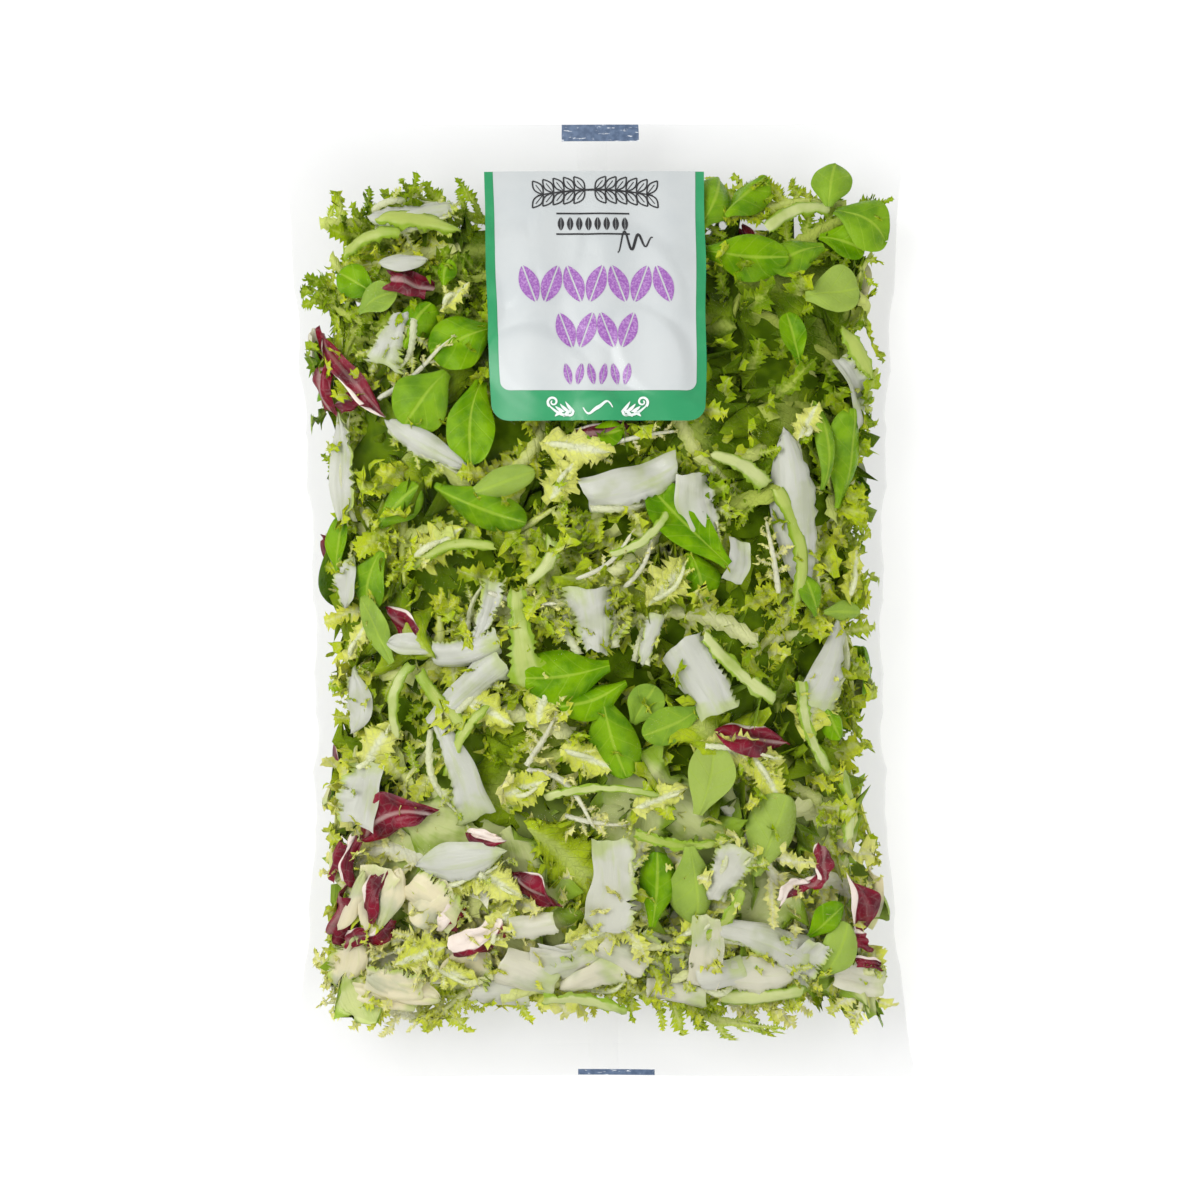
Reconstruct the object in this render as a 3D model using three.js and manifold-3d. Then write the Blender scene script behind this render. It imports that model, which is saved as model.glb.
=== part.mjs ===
// A sealed pillow bag of mixed salad leaves, lying on its back with the printed front up.
// Millimetres, +Z up. +Y runs to the top seal and +X to the right of the print.
// The origin is on the table, under the middle of the bag.
import * as THREE from "three";
import { mergeVertices } from "three/addons/utils/BufferGeometryUtils.js";
import Module from "manifold-3d";

// The film laid flat, and the bag that it makes when it is full
const bagLength = 382;
const filmWidth = 250;
const waistWidth = 223;
const bagThickness = 76;
const sealDepth = 11;
const sealThickness = 1.2;
const sealPull = 2.4; // how far the swelling draws the middle of each seal inwards
const lean = 4.8; // how far the bottom seal lies to the right of the top one
const cornerCut = 1.6; // how far the corners are drawn in

// How the bag is filled: its waist, its fullest place and how it runs out to each seal
const waistY = -30;
const fullestY = -20;
const topTaper = { width: 1.8, fill: 2.5 };
const bottomTaper = { width: 2.2, fill: 3.4 };
const fillRoundness = 0.8;

// How it lies: the height of its side edges, the droop of the seals and the flat spot below
const edgeHeight = 34;
const sealDroop = 12;
const undersideDepth = 40;
const flatSoftness = 3;

// The relief: leaves that press on the film, puckers at the seals and waves along the edges
const leafBump = { length: 44, width: 26, height: 1.7, perSide: 84 };
const pucker = { height: 1.1, pitch: 27, reach: 34 };
const edgeWave = { height: 0.7, pitch: 41 };
const sealWave = { height: 1.3, pitch: 118 };

// The printed panel on the front
const panel = {
  width: 88.8,
  top: 171,
  bottom: 70.6,
  centreX: -1.2,
  cornerRadius: 9,
  thickness: 0.4,
  gap: 0.35,
  skew: 2.4, // how far its left edge leans to the right on the way down
  cutHeight: 26, // above the underside of the film, below the panel's lowest place
  cornerSegments: 5,
};

// The faces: how many across the width and along the length
const across = 34;
const along = 56;

const sealY = bagLength / 2 - sealDepth;
const crownHeight = bagThickness - edgeHeight;

// A number from 0 to 1 that looks random and is the same each time.
function scatter(index, channel) {
  const value = Math.sin(index * 12.9898 + channel * 78.233) * 43758.5453;
  return value - Math.floor(value);
}

// 1 inside, 0 outside, and a soft step between.
function softStep(from, to, value) {
  const t = Math.min(1, Math.max(0, (value - from) / (to - from)));
  return t * t * (3 - 2 * t);
}

// The bag's half width at a height on the page: narrow at the waist, full film width at the seals.
function halfWidth(y) {
  const taper = y > waistY ? topTaper : bottomTaper;
  const run = y > waistY ? bagLength / 2 - waistY : bagLength / 2 + waistY;
  const share = Math.min(1, Math.abs(y - waistY) / run);
  const straight = waistWidth / 2 + ((filmWidth - waistWidth) / 2) * share ** taper.width;
  const wave = edgeWave.height * Math.sin((2 * Math.PI * y) / edgeWave.pitch);
  const corner = cornerCut * softStep(bagLength / 2 - 5, bagLength / 2, Math.abs(y));
  return straight + wave * swelling(y) - corner;
}

// 1 where the bag is fullest and 0 from the seals out.
function swelling(y) {
  const taper = y > fullestY ? topTaper : bottomTaper;
  const run = y > fullestY ? sealY - fullestY : sealY + fullestY;
  const share = Math.min(1, Math.abs(y - fullestY) / run);
  return (1 - share ** taper.fill) ** fillRoundness;
}

// The height of the side edges and of the seals, which droop towards the table.
function middleHeight(x, y) {
  const outward = Math.abs(y) / (bagLength / 2);
  const wave = sealWave.height * Math.sin((2 * Math.PI * x) / sealWave.pitch + Math.sign(y));
  return edgeHeight - sealDroop * outward ** 2.5 + wave * outward ** 4;
}

// Places and turns of the leaves that press on one side of the film.
function leafPlaces(side) {
  return Array.from({ length: leafBump.perSide }, (_, i) => {
    const index = i + side * leafBump.perSide;
    return {
      x: (scatter(index, 1) - 0.5) * (waistWidth - leafBump.width),
      y: (scatter(index, 2) - 0.5) * 2 * (sealY - leafBump.width),
      turn: scatter(index, 3) * Math.PI,
      size: 0.75 + 0.5 * scatter(index, 4),
      height: leafBump.height * (0.5 + scatter(index, 5)),
    };
  });
}

const leaves = [leafPlaces(0), leafPlaces(1)];

// The relief of one side: a low oval plateau for each leaf, and puckers that fade from the seals.
function relief(x, y, side) {
  let leafHeight = 0;
  for (const leaf of leaves[side]) {
    const dx = x - leaf.x;
    const dy = y - leaf.y;
    const alongLeaf = (dx * Math.cos(leaf.turn) + dy * Math.sin(leaf.turn)) / (leafBump.length * leaf.size);
    const acrossLeaf = (dy * Math.cos(leaf.turn) - dx * Math.sin(leaf.turn)) / (leafBump.width * leaf.size);
    const radius = 2 * Math.hypot(alongLeaf, acrossLeaf);
    leafHeight = Math.max(leafHeight, leaf.height * (1 - softStep(0.7, 1.2, radius)));
  }
  const fromSeal = Math.max(0, sealY - Math.abs(y));
  const fade = (fromSeal / pucker.reach) * Math.exp(1 - fromSeal / pucker.reach);
  const phase = Math.sign(y) + side * 2;
  const puckers = pucker.height * fade * Math.sin((2 * Math.PI * x) / pucker.pitch + phase);
  return leafHeight - leafBump.height + puckers;
}

// A point of the film. turn runs from 0 at the left edge to PI at the right edge.
function filmPoint(turn, y, side) {
  const offset = -Math.cos(turn);
  const x = halfWidth(y) * offset;
  const arch = Math.max(0, Math.sin(turn));
  const fill = swelling(y);
  const bend = sealPull * (1 - offset * offset) * (Math.abs(y) / (bagLength / 2)) ** 6;
  const place = {
    x: x - (lean / 2) * (y / (bagLength / 2)),
    y: y - Math.sign(y) * bend,
  };
  const bump = relief(x, y, side) * arch * Math.min(1, 2 * fill);
  const middle = middleHeight(x, y);
  if (side === 0) {
    place.z = middle + sealThickness / 2 + crownHeight * arch * fill + bump;
    return place;
  }
  const low = middle - sealThickness / 2 - undersideDepth * arch * fill - bump;
  place.z = restOnTable(low);
  return place;
}

// Heights below the table become 0, with a soft bend into the flat spot.
function restOnTable(z) {
  if (z <= -flatSoftness) return 0;
  if (z >= flatSoftness) return z;
  return (z + flatSoftness) ** 2 / (4 * flatSoftness);
}

// A closed thin solid from two grids of points with the same rim.
function solidBetween(upper, lower, columns, rows) {
  const points = [];
  const faces = [];
  const index = (side, i, j) => side * (columns + 1) * (rows + 1) + j * (columns + 1) + i;
  for (const grid of [upper, lower])
    for (let j = 0; j <= rows; j++)
      for (let i = 0; i <= columns; i++) {
        const p = grid(i, j);
        points.push(p.x, p.y, p.z);
      }
  const quad = (a, b, c, d) => faces.push(a, b, c, a, c, d);
  for (let j = 0; j < rows; j++)
    for (let i = 0; i < columns; i++) {
      quad(index(0, i, j), index(0, i + 1, j), index(0, i + 1, j + 1), index(0, i, j + 1));
      quad(index(1, i, j), index(1, i, j + 1), index(1, i + 1, j + 1), index(1, i + 1, j));
    }
  for (let j = 0; j < rows; j++) {
    quad(index(0, 0, j), index(0, 0, j + 1), index(1, 0, j + 1), index(1, 0, j));
    quad(index(0, columns, j + 1), index(0, columns, j), index(1, columns, j), index(1, columns, j + 1));
  }
  for (let i = 0; i < columns; i++) {
    quad(index(0, i + 1, 0), index(0, i, 0), index(1, i, 0), index(1, i + 1, 0));
    quad(index(0, i, rows), index(0, i + 1, rows), index(1, i + 1, rows), index(1, i, rows));
  }
  const geometry = new THREE.BufferGeometry();
  geometry.setAttribute("position", new THREE.Float32BufferAttribute(points, 3));
  geometry.setIndex(faces);
  geometry.computeVertexNormals();
  return geometry;
}

// Rows are closer together at the seals, where the film bends most.
function rowY(j) {
  const even = (2 * j) / along - 1;
  const eased = Math.sin((even * Math.PI) / 2);
  return (bagLength / 2) * (0.55 * even + 0.45 * eased);
}

function bagGeometry() {
  const point = (side) => (i, j) => filmPoint((Math.PI * i) / across, rowY(j), side);
  return solidBetween(point(0), point(1), across, along);
}

const wasm = await Module();
wasm.setup();

function solidOf(geometry) {
  const bare = geometry.clone();
  bare.deleteAttribute("normal");
  bare.deleteAttribute("uv");
  const merged = mergeVertices(bare, 1e-4);
  return new wasm.Manifold(
    new wasm.Mesh({
      numProp: 3,
      vertProperties: merged.attributes.position.array,
      triVerts: new Uint32Array(merged.index.array),
    }),
  );
}

function geometryOf(solid) {
  const mesh = solid.getMesh();
  const geometry = new THREE.BufferGeometry();
  geometry.setAttribute("position", new THREE.BufferAttribute(mesh.vertProperties, 3));
  geometry.setIndex(new THREE.BufferAttribute(mesh.triVerts, 1));
  geometry.computeVertexNormals();
  return geometry;
}

// The panel's outline on the page: square at the top, where it has no border, and rounded below.
function panelOutline() {
  const left = panel.centreX - panel.width / 2;
  const right = panel.centreX + panel.width / 2;
  const radius = panel.cornerRadius;
  const shape = new THREE.Shape();
  shape.moveTo(left, panel.top);
  shape.lineTo(left + panel.skew, panel.bottom + radius);
  shape.absarc(left + panel.skew + radius, panel.bottom + radius, radius, Math.PI, 1.5 * Math.PI, false);
  shape.absarc(right - radius, panel.bottom + radius, radius, 1.5 * Math.PI, 2 * Math.PI, false);
  shape.lineTo(right, panel.top);
  return shape;
}

// The panel is the layer between two copies of the bag raised a little, inside the outline.
function panelGeometry(bag) {
  const prism = new THREE.ExtrudeGeometry(panelOutline(), {
    depth: bagThickness,
    bevelEnabled: false,
    curveSegments: panel.cornerSegments,
  }).translate(0, 0, panel.cutHeight);
  const below = bag.translate([0, 0, panel.gap]);
  const above = bag.translate([0, 0, panel.gap + panel.thickness]);
  return geometryOf(solidOf(prism).intersect(above).subtract(below));
}

function piece(name, geometry, color, roughness) {
  const material = new THREE.MeshStandardMaterial({ color, roughness, metalness: 0 });
  const mesh = new THREE.Mesh(geometry, material);
  mesh.name = name;
  return mesh;
}

const saladBag = new THREE.Group();
const film = bagGeometry();
saladBag.add(piece("bag", film, 0x9fb04e, 0.35));
saladBag.add(piece("label", panelGeometry(solidOf(film)), 0xe9eef0, 0.4));

export default saladBag;
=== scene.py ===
# A sealed clear bag of mixed salad leaves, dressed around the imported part.
# Sizes are in millimetres, as on the part, and become metres when a mesh is made.
import math

import bpy
import numpy as np
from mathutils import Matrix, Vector


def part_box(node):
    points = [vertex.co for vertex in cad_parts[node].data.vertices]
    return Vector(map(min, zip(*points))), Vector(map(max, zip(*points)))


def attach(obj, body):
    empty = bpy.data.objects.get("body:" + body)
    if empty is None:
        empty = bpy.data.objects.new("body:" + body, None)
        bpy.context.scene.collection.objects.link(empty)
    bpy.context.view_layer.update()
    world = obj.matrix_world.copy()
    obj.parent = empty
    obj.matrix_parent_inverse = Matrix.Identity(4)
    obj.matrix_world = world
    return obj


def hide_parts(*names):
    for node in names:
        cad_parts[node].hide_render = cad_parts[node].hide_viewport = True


mm = 0.001
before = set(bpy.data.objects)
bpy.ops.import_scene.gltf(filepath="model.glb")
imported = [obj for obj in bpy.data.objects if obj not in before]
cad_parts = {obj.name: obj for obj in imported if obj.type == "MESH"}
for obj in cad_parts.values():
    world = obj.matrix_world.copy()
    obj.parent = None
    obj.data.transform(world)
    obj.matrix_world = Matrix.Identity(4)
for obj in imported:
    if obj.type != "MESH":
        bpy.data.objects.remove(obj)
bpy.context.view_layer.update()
bagLow, bagHigh = (np.array(corner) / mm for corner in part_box("bag"))
labelLow, labelHigh = (np.array(corner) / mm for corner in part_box("label"))
print("packed part loaded")

# The form of the bag, the same as on the part. Its length comes from the part's box.
bag = {
    "length": float(bagHigh[1] - bagLow[1]),
    "filmWidth": 250,
    "waistWidth": 223,
    "thickness": 76,
    "sealDepth": 11,
    "sealThickness": 0.3,
    "sealPull": 0.8,  # less than on the part, as in the photograph
    "lean": 4.8,
    "cornerCut": 1.6,
    "waistY": -30,
    "fullestY": -20,
    "topTaper": {"width": 1.8, "fill": 2.5},
    "bottomTaper": {"width": 2.2, "fill": 3.4},
    "fillRoundness": 0.8,
    "edgeHeight": 34,
    "sealDroop": 12,
    "undersideDepth": 40,
    "flatSoftness": 3,
    "tableGap": 0.35,  # room for the back seam under the film
}
leafBump = {"length": 44, "width": 26, "height": 1.7, "perSide": 84}
pucker = {"height": 1.1, "pitch": 27, "reach": 34}
edgeWave = {"height": 0.7, "pitch": 41}
sealWave = {"height": 1.3, "pitch": 118}

halfLength = bag["length"] / 2
sealY = halfLength - bag["sealDepth"]
halfTube = bag["filmWidth"]  # from the top's middle line to the back seam
foldLine = bag["filmWidth"] / 2  # where the laid-flat film would fold


def scatter(index, channel):
    # the fraction of a large sine: looks random, and is the same on the part
    value = np.sin(index * 12.9898 + channel * 78.233) * 43758.5453
    return value - np.floor(value)


def softStep(start, end, value):
    t = np.clip((value - start) / (end - start), 0, 1)
    return t * t * (3 - 2 * t)


def softMin(value, limit, softness=0.5):
    # value, held under limit with a rounded corner
    return limit - softness * np.logaddexp(0, (limit - value) / softness)


def softMax(value, limit, softness=0.5):
    return limit + softness * np.logaddexp(0, (value - limit) / softness)


def swelling(y):
    # one minus a power of the way to the seal: 1 at the fullest place and 0 at the seals
    above = y > bag["fullestY"]
    power = np.where(above, bag["topTaper"]["fill"], bag["bottomTaper"]["fill"])
    run = np.where(above, sealY - bag["fullestY"], sealY + bag["fullestY"])
    share = np.minimum(1, np.abs(y - bag["fullestY"]) / run)
    return (1 - share**power) ** bag["fillRoundness"]


def halfWidth(y):
    # the waist, widening by a power of the way to each end, with small waves
    above = y > bag["waistY"]
    power = np.where(above, bag["topTaper"]["width"], bag["bottomTaper"]["width"])
    run = np.where(above, halfLength - bag["waistY"], halfLength + bag["waistY"])
    share = np.minimum(1, np.abs(y - bag["waistY"]) / run)
    waist = bag["waistWidth"] / 2
    straight = waist + (bag["filmWidth"] / 2 - waist) * share**power
    wave = edgeWave["height"] * np.sin(2 * np.pi * y / edgeWave["pitch"])
    corner = bag["cornerCut"] * softStep(halfLength - 5, halfLength, np.abs(y))
    return straight + wave * swelling(y) - corner


def middleHeight(x, y):
    # level at the middle, drooping by a power of the way to each seal
    outward = np.abs(y) / halfLength
    wave = sealWave["height"] * np.sin(2 * np.pi * x / sealWave["pitch"] + np.sign(y))
    return bag["edgeHeight"] - bag["sealDroop"] * outward**2.5 + wave * outward**4


def relief(x, y, side):
    # the highest of many low oval plateaus, and waves across the film that fade from the seals
    leafHeight = np.zeros(np.shape(x))
    for i in range(leafBump["perSide"]):
        index = i + side * leafBump["perSide"]
        leafX = (scatter(index, 1) - 0.5) * (bag["waistWidth"] - leafBump["width"])
        leafY = (scatter(index, 2) - 0.5) * 2 * (sealY - leafBump["width"])
        turn = scatter(index, 3) * math.pi
        size = 0.75 + 0.5 * scatter(index, 4)
        height = leafBump["height"] * (0.5 + scatter(index, 5))
        dx = x - leafX
        dy = y - leafY
        along = (dx * math.cos(turn) + dy * math.sin(turn)) / (leafBump["length"] * size)
        across = (dy * math.cos(turn) - dx * math.sin(turn)) / (leafBump["width"] * size)
        radius = 2 * np.hypot(along, across)
        leafHeight = np.maximum(leafHeight, height * (1 - softStep(0.7, 1.2, radius)))
    fromSeal = np.maximum(0, sealY - np.abs(y))
    fade = (fromSeal / pucker["reach"]) * np.exp(1 - fromSeal / pucker["reach"])
    waves = np.sin(2 * np.pi * x / pucker["pitch"] + np.sign(y) + side * 2)
    return leafHeight - leafBump["height"] + pucker["height"] * fade * waves


def filmShape(phi, y):
    # round the tube by the angle phi: x is the half width times its sine, and the height its cosine
    # times the fill, from the middle height, with the underside flattened where it meets the table
    offset = np.sin(phi)
    arch = np.abs(np.cos(phi))
    upper = np.cos(phi) >= 0
    fill = swelling(y)
    x = halfWidth(y) * offset
    reach = y / halfLength
    bend = bag["sealPull"] * (1 - offset**2) * np.abs(reach) ** 6
    bump = np.where(upper, relief(x, y, 0), relief(x, y, 1)) * arch * np.minimum(1, 2 * fill)
    crown = np.where(upper, bag["thickness"] - bag["edgeHeight"], bag["undersideDepth"])
    rise = crown * arch * fill + bump + bag["sealThickness"] / 2 * np.minimum(1, 8 * arch)
    z = middleHeight(x, y) + np.where(upper, rise, -rise)
    soft = bag["flatSoftness"]
    z = np.where(z < soft, np.maximum(z + soft, 0) ** 2 / (4 * soft), z)
    z = np.maximum(z, bag["tableGap"])
    return np.stack([x - bag["lean"] / 2 * reach, y - np.sign(y) * bend, z], -1)


def angleTable(sLine, yLine):
    # for each row, the angle at which the length of film from the top's middle line is s
    quarterSteps = 360
    steps = np.linspace(0, np.pi, 2 * quarterSteps + 1)
    rows = np.empty((len(yLine), len(sLine)))
    for row, y in enumerate(yLine):
        depth = np.where(steps < np.pi / 2, bag["thickness"] - bag["edgeHeight"], bag["undersideDepth"])
        slope = np.hypot(halfWidth(y) * np.cos(steps), depth * swelling(y) * np.sin(steps))
        length = np.concatenate([[0], np.cumsum((slope[1:] + slope[:-1]) / 2)])
        quarter = length[quarterSteps]
        upperPart = length / quarter * foldLine
        lowerPart = foldLine + (length - quarter) / (length[-1] - quarter) * (halfTube - foldLine)
        run = np.where(steps <= np.pi / 2, upperPart, lowerPart)
        rows[row] = np.sign(sLine) * np.interp(np.abs(sLine), run, steps)
    return rows


# The film as a table of places and outward directions, by s round the tube and y along it
tableSize = {"round": 401, "along": 383}
sLine = np.linspace(-halfTube, halfTube, tableSize["round"])
yLine = np.linspace(-halfLength, halfLength, tableSize["along"])
phiRows = angleTable(sLine, yLine)
filmRows = filmShape(phiRows, yLine[:, None] + np.zeros_like(phiRows))


def outwardRows(rows):
    # the cross product of the steps round the tube and along it, at unit length
    padded = np.concatenate([rows[:, -3:-1], rows, rows[:, 1:3]], 1)
    around = np.gradient(padded, axis=1)[:, 2:-2]
    along = np.gradient(rows, axis=0)
    normal = np.cross(around, along)
    return normal / np.maximum(np.linalg.norm(normal, axis=-1, keepdims=True), 1e-9)


normalRows = outwardRows(filmRows)


def evened(rows, reachS, reachY):
    # a running mean round the tube and along it, at unit length, so that what lies deeper keeps its order
    around = np.concatenate([rows[:, -1 - reachS : -1], rows, rows[:, 1 : 1 + reachS]], 1)
    sums = np.cumsum(np.concatenate([np.zeros_like(around[:, :1]), around], 1), 1)
    rows = sums[:, 2 * reachS + 1 :] - sums[:, : -2 * reachS - 1]
    along = np.concatenate([np.repeat(rows[:1], reachY, 0), rows, np.repeat(rows[-1:], reachY, 0)], 0)
    sums = np.cumsum(np.concatenate([np.zeros_like(along[:1]), along], 0), 0)
    rows = sums[2 * reachY + 1 :] - sums[: -2 * reachY - 1]
    return rows / np.maximum(np.linalg.norm(rows, axis=-1, keepdims=True), 1e-9)


evenNormals = evened(evened(normalRows, 6, 7), 4, 5)


def lookUp(rows, s, y):
    # a value between the four nearest entries of a table, round the tube and along it
    s = (s + halfTube) % (2 * halfTube)
    column = np.clip(s / (2 * halfTube) * (len(sLine) - 1), 0, len(sLine) - 1.001)
    row = np.clip((y + halfLength) / (2 * halfLength) * (len(yLine) - 1), 0, len(yLine) - 1.001)
    i, j = row.astype(int), column.astype(int)
    a, b = row - i, column - j
    if rows.ndim == 3:
        a, b = a[..., None], b[..., None]
    low = rows[i, j] * (1 - b) + rows[i, j + 1] * b
    high = rows[i + 1, j] * (1 - b) + rows[i + 1, j + 1] * b
    return low * (1 - a) + high * a


print("film worked out")

# The camera looks straight down, as the photograph does. Its pixels are sized at the height of the seals.
view = {
    "pixels": 1200,
    "millimetresPerPixel": 0.4,
    "centrePixel": (598, 600),  # where the bag's own middle is
    "height": 1500,
    "seals": 22,
    "sensor": 36,
}


def fromPixel(px, py):
    # the place on the upper film under a pixel of the photograph, as s and y
    z = view["seals"]
    for _ in range(5):
        scale = view["millimetresPerPixel"] * (view["height"] - z) / (view["height"] - view["seals"])
        x = (px - view["centrePixel"][0]) * scale
        y = float(np.clip((view["centrePixel"][1] - py) * scale, -sealY + 4, sealY - 4))
        offset = (x + bag["lean"] / 2 * y / halfLength) / float(halfWidth(np.array(y)))
        phi = math.asin(max(-0.995, min(0.995, offset)))
        z = float(filmShape(np.array([phi]), np.array([y]))[0, 2])
    row = phiRows[int(round((y + halfLength) / (2 * halfLength) * (len(yLine) - 1)))]
    return float(np.interp(phi, row, sLine)), y


# Meshes

def gridQuads(grid):
    # the four-sided faces between neighbours in a grid of point numbers
    corners = [grid[:-1, :-1], grid[:-1, 1:], grid[1:, 1:], grid[1:, :-1]]
    return np.stack(corners, -1).reshape(-1, 4)


def ringGrid(rows, columns):
    # a grid of point numbers, and the same with its first column again after the last, to close a tube
    grid = np.arange(rows * columns).reshape(rows, columns)
    return grid, np.concatenate([grid, grid[:, :1]], 1)


def sheetFaces(nu, nv):
    # quads of a closed sheet: a front grid of nu by nv points, and a back grid that shares its rim
    front = np.arange(nu * nv).reshape(nu, nv)
    back = front.copy()
    back[1:-1, 1:-1] = nu * nv + np.arange((nu - 2) * (nv - 2)).reshape(nu - 2, nv - 2)
    return np.concatenate([gridQuads(front), gridQuads(back)[:, ::-1]])


def newHeap():
    return {"points": [], "faces": [], "uv": [], "data": [], "rim": [], "count": 0, "triangles": 0}


# How a leaf is pressed under the film: its height is one that most of its points lie under, in percent. The
# rest is in millimetres: how softly it is held at the film, at the bag's middle and short of the seals.
pressed = {"topPercent": 95, "softTop": 0.25, "softRoom": 0.6, "fromSeal": 3, "softSeal": 1.5, "clear": 0.8}


def layLeaf(heap, parts, place, roll=0.0, pitch=0.0):
    # parts are (middle, thickness, data, flat), with middle (k, nu, nv, 3) in the leaf's own frame.
    # The leaf is turned about its length and its width, and raised until its highest point is at its
    # depth under the film. Each sheet has half its thickness on both sides, and none at the rim.
    cosRoll, sinRoll = math.cos(math.radians(roll)), math.sin(math.radians(roll))
    cosPitch, sinPitch = math.cos(math.radians(pitch)), math.sin(math.radians(pitch))
    turned = []
    for middle, *_ in parts:
        x, y, z = middle[..., 0], middle[..., 1], middle[..., 2]
        x, z = x * cosRoll + z * sinRoll, z * cosRoll - x * sinRoll
        y, z = y * cosPitch - z * sinPitch, z * cosPitch + y * sinPitch
        turned.append(np.stack([x, y, z], -1))
    top = max(float(np.percentile(sheet[..., 2], pressed["topPercent"])) for sheet in turned)
    for held, (_, thickness, data, flat) in zip(turned, parts):
        k, nu, nv = held.shape[:3]
        ceiling = place["depth"] - pressed["clear"] - thickness / 2
        held[..., 2] = softMin(held[..., 2] - top, ceiling, pressed["softTop"])
        held[..., 2] = softMax(held[..., 2], place["depth"] - place["room"], pressed["softRoom"])
        normal = np.cross(np.gradient(held, axis=2), np.gradient(held, axis=1))
        normal /= np.maximum(np.linalg.norm(normal, axis=-1, keepdims=True), 1e-6)
        inside = np.zeros((nu, nv))
        inside[1:-1, 1:-1] = 1
        half = (thickness / 2 * inside + np.zeros((k, nu, nv)))[..., None]
        front = (held + normal * half).reshape(k, nu * nv, 3)
        back = (held - normal * half)[:, 1:-1, 1:-1].reshape(k, -1, 3)
        points = layUnderFilm(np.concatenate([front, back], 1), place)
        perSheet = points.shape[1]
        faces = sheetFaces(nu, nv)[None] + (np.arange(k) * perSheet)[:, None, None] + heap["count"]
        rim = np.zeros(perSheet, bool)
        rim[: nu * nv] = (inside == 0).ravel()
        heap["points"].append(points.reshape(-1, 3))
        heap["faces"].append(faces.reshape(-1, 4))
        heap["uv"].append(bothSides(flat, k, nu, nv))
        heap["data"].append(bothSides(data, k, nu, nv))
        heap["rim"].append(np.tile(rim, k))
        heap["count"] += k * perSheet
        heap["triangles"] += 2 * faces.size // 4


def bothSides(values, k, nu, nv):
    # a sheet's values for its front points and then for its back points
    values = np.broadcast_to(values, (k, nu, nv, values.shape[-1]))
    joined = [values.reshape(k, nu * nv, -1), values[:, 1:-1, 1:-1].reshape(k, -1, values.shape[-1])]
    return np.concatenate(joined, 1).reshape(-1, values.shape[-1])


def layUnderFilm(points, place):
    # turns a leaf on the film, and sets it as far inside as its depth less its own height
    turn = math.radians(place["turn"])
    tip = (math.cos(turn), math.sin(turn))
    x, y, height = points[..., 0], points[..., 1], points[..., 2]
    s = place["s"] + x * tip[1] + y * tip[0]
    row = place["y"] - x * tip[0] + y * tip[1]
    last = sealY - pressed["fromSeal"]
    row = softMin(softMax(row, -last, pressed["softSeal"]), last, pressed["softSeal"])
    inward = place["depth"] - height
    return lookUp(filmRows, s, row) - lookUp(evenNormals, s, row) * inward[..., None]


def placeAt(s, y, turn, depth):
    # a leaf's place, with the room that the bag leaves there: a share of its thickness, which falls
    # towards the seals and the fold lines
    phi = lookUp(phiRows, np.array([s]), np.array([y]))[0]
    arch = max(0.6, abs(math.cos(phi)))
    room = max(2.0, 0.46 * bag["thickness"] * float(swelling(np.array(y))) * arch)
    return {"s": s, "y": y, "turn": turn, "depth": min(depth, room - 1), "room": room}


def makeMesh(name, points, faceGroups, materials, slotName, uv=None, data=None, rim=None):
    # faceGroups is a list of (n, 3) and (n, 4) arrays of point numbers. Where there is a material for
    # each group, the group takes its own.
    mesh = bpy.data.meshes.new(name)
    mesh.vertices.add(len(points))
    mesh.vertices.foreach_set("co", (np.asarray(points) * mm).astype(np.float32).ravel())
    corners = np.concatenate([group.ravel() for group in faceGroups]).astype(np.int32)
    sizes = np.concatenate([np.full(len(group), group.shape[1]) for group in faceGroups])
    mesh.loops.add(len(corners))
    mesh.loops.foreach_set("vertex_index", corners)
    mesh.polygons.add(len(sizes))
    mesh.polygons.foreach_set("loop_start", np.concatenate([[0], np.cumsum(sizes)[:-1]]).astype(np.int32))
    mesh.update(calc_edges=True)
    for material in materials:
        mesh.materials.append(material)
    if len(materials) == len(faceGroups):
        which = np.concatenate([np.full(len(group), i) for i, group in enumerate(faceGroups)])
        mesh.polygons.foreach_set("material_index", which.astype(np.int32))
    if uv is not None:
        layer = mesh.uv_layers.new(name="flat")
        layer.data.foreach_set("uv", np.asarray(uv)[corners].astype(np.float32).ravel())
    if data is not None:
        attribute = mesh.attributes.new("leaf", "FLOAT_VECTOR", "POINT")
        attribute.data.foreach_set("vector", np.asarray(data).astype(np.float32).ravel())
    mesh.shade_smooth()
    if rim is not None:
        ends = np.zeros(len(mesh.edges) * 2, np.int32)
        mesh.edges.foreach_get("vertices", ends)
        ends = ends.reshape(-1, 2)
        sharp = mesh.attributes.new("sharp_edge", "BOOLEAN", "EDGE")
        sharp.data.foreach_set("value", rim[ends[:, 0]] & rim[ends[:, 1]])
    mesh.validate()
    piece = bpy.data.objects.new(name, mesh)
    bpy.context.scene.collection.objects.link(piece)
    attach(piece, "root")
    return piece


def heapMesh(name, heap, material, slotName):
    # one piece of all the leaves in a heap
    joined = {key: np.concatenate(heap[key]) for key in ("points", "faces", "uv", "data", "rim")}
    makeMesh(name, joined["points"], [joined["faces"]], [material], slotName,
             uv=joined["uv"], data=joined["data"], rim=joined["rim"])
    print(name, "made,", heap["triangles"], "triangles")


# Materials

def linear(red, green, blue):
    # a colour as seen on a screen, from 0 to 255, as the light that it stands for
    parts = [c / 255 for c in (red, green, blue)]
    return tuple(c / 12.92 if c <= 0.04045 else ((c + 0.055) / 1.055) ** 2.4 for c in parts) + (1.0,)


def newMaterial(name):
    material = bpy.data.materials.new(name)
    material.use_nodes = True
    material.node_tree.nodes.clear()
    return material, material.node_tree


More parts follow.
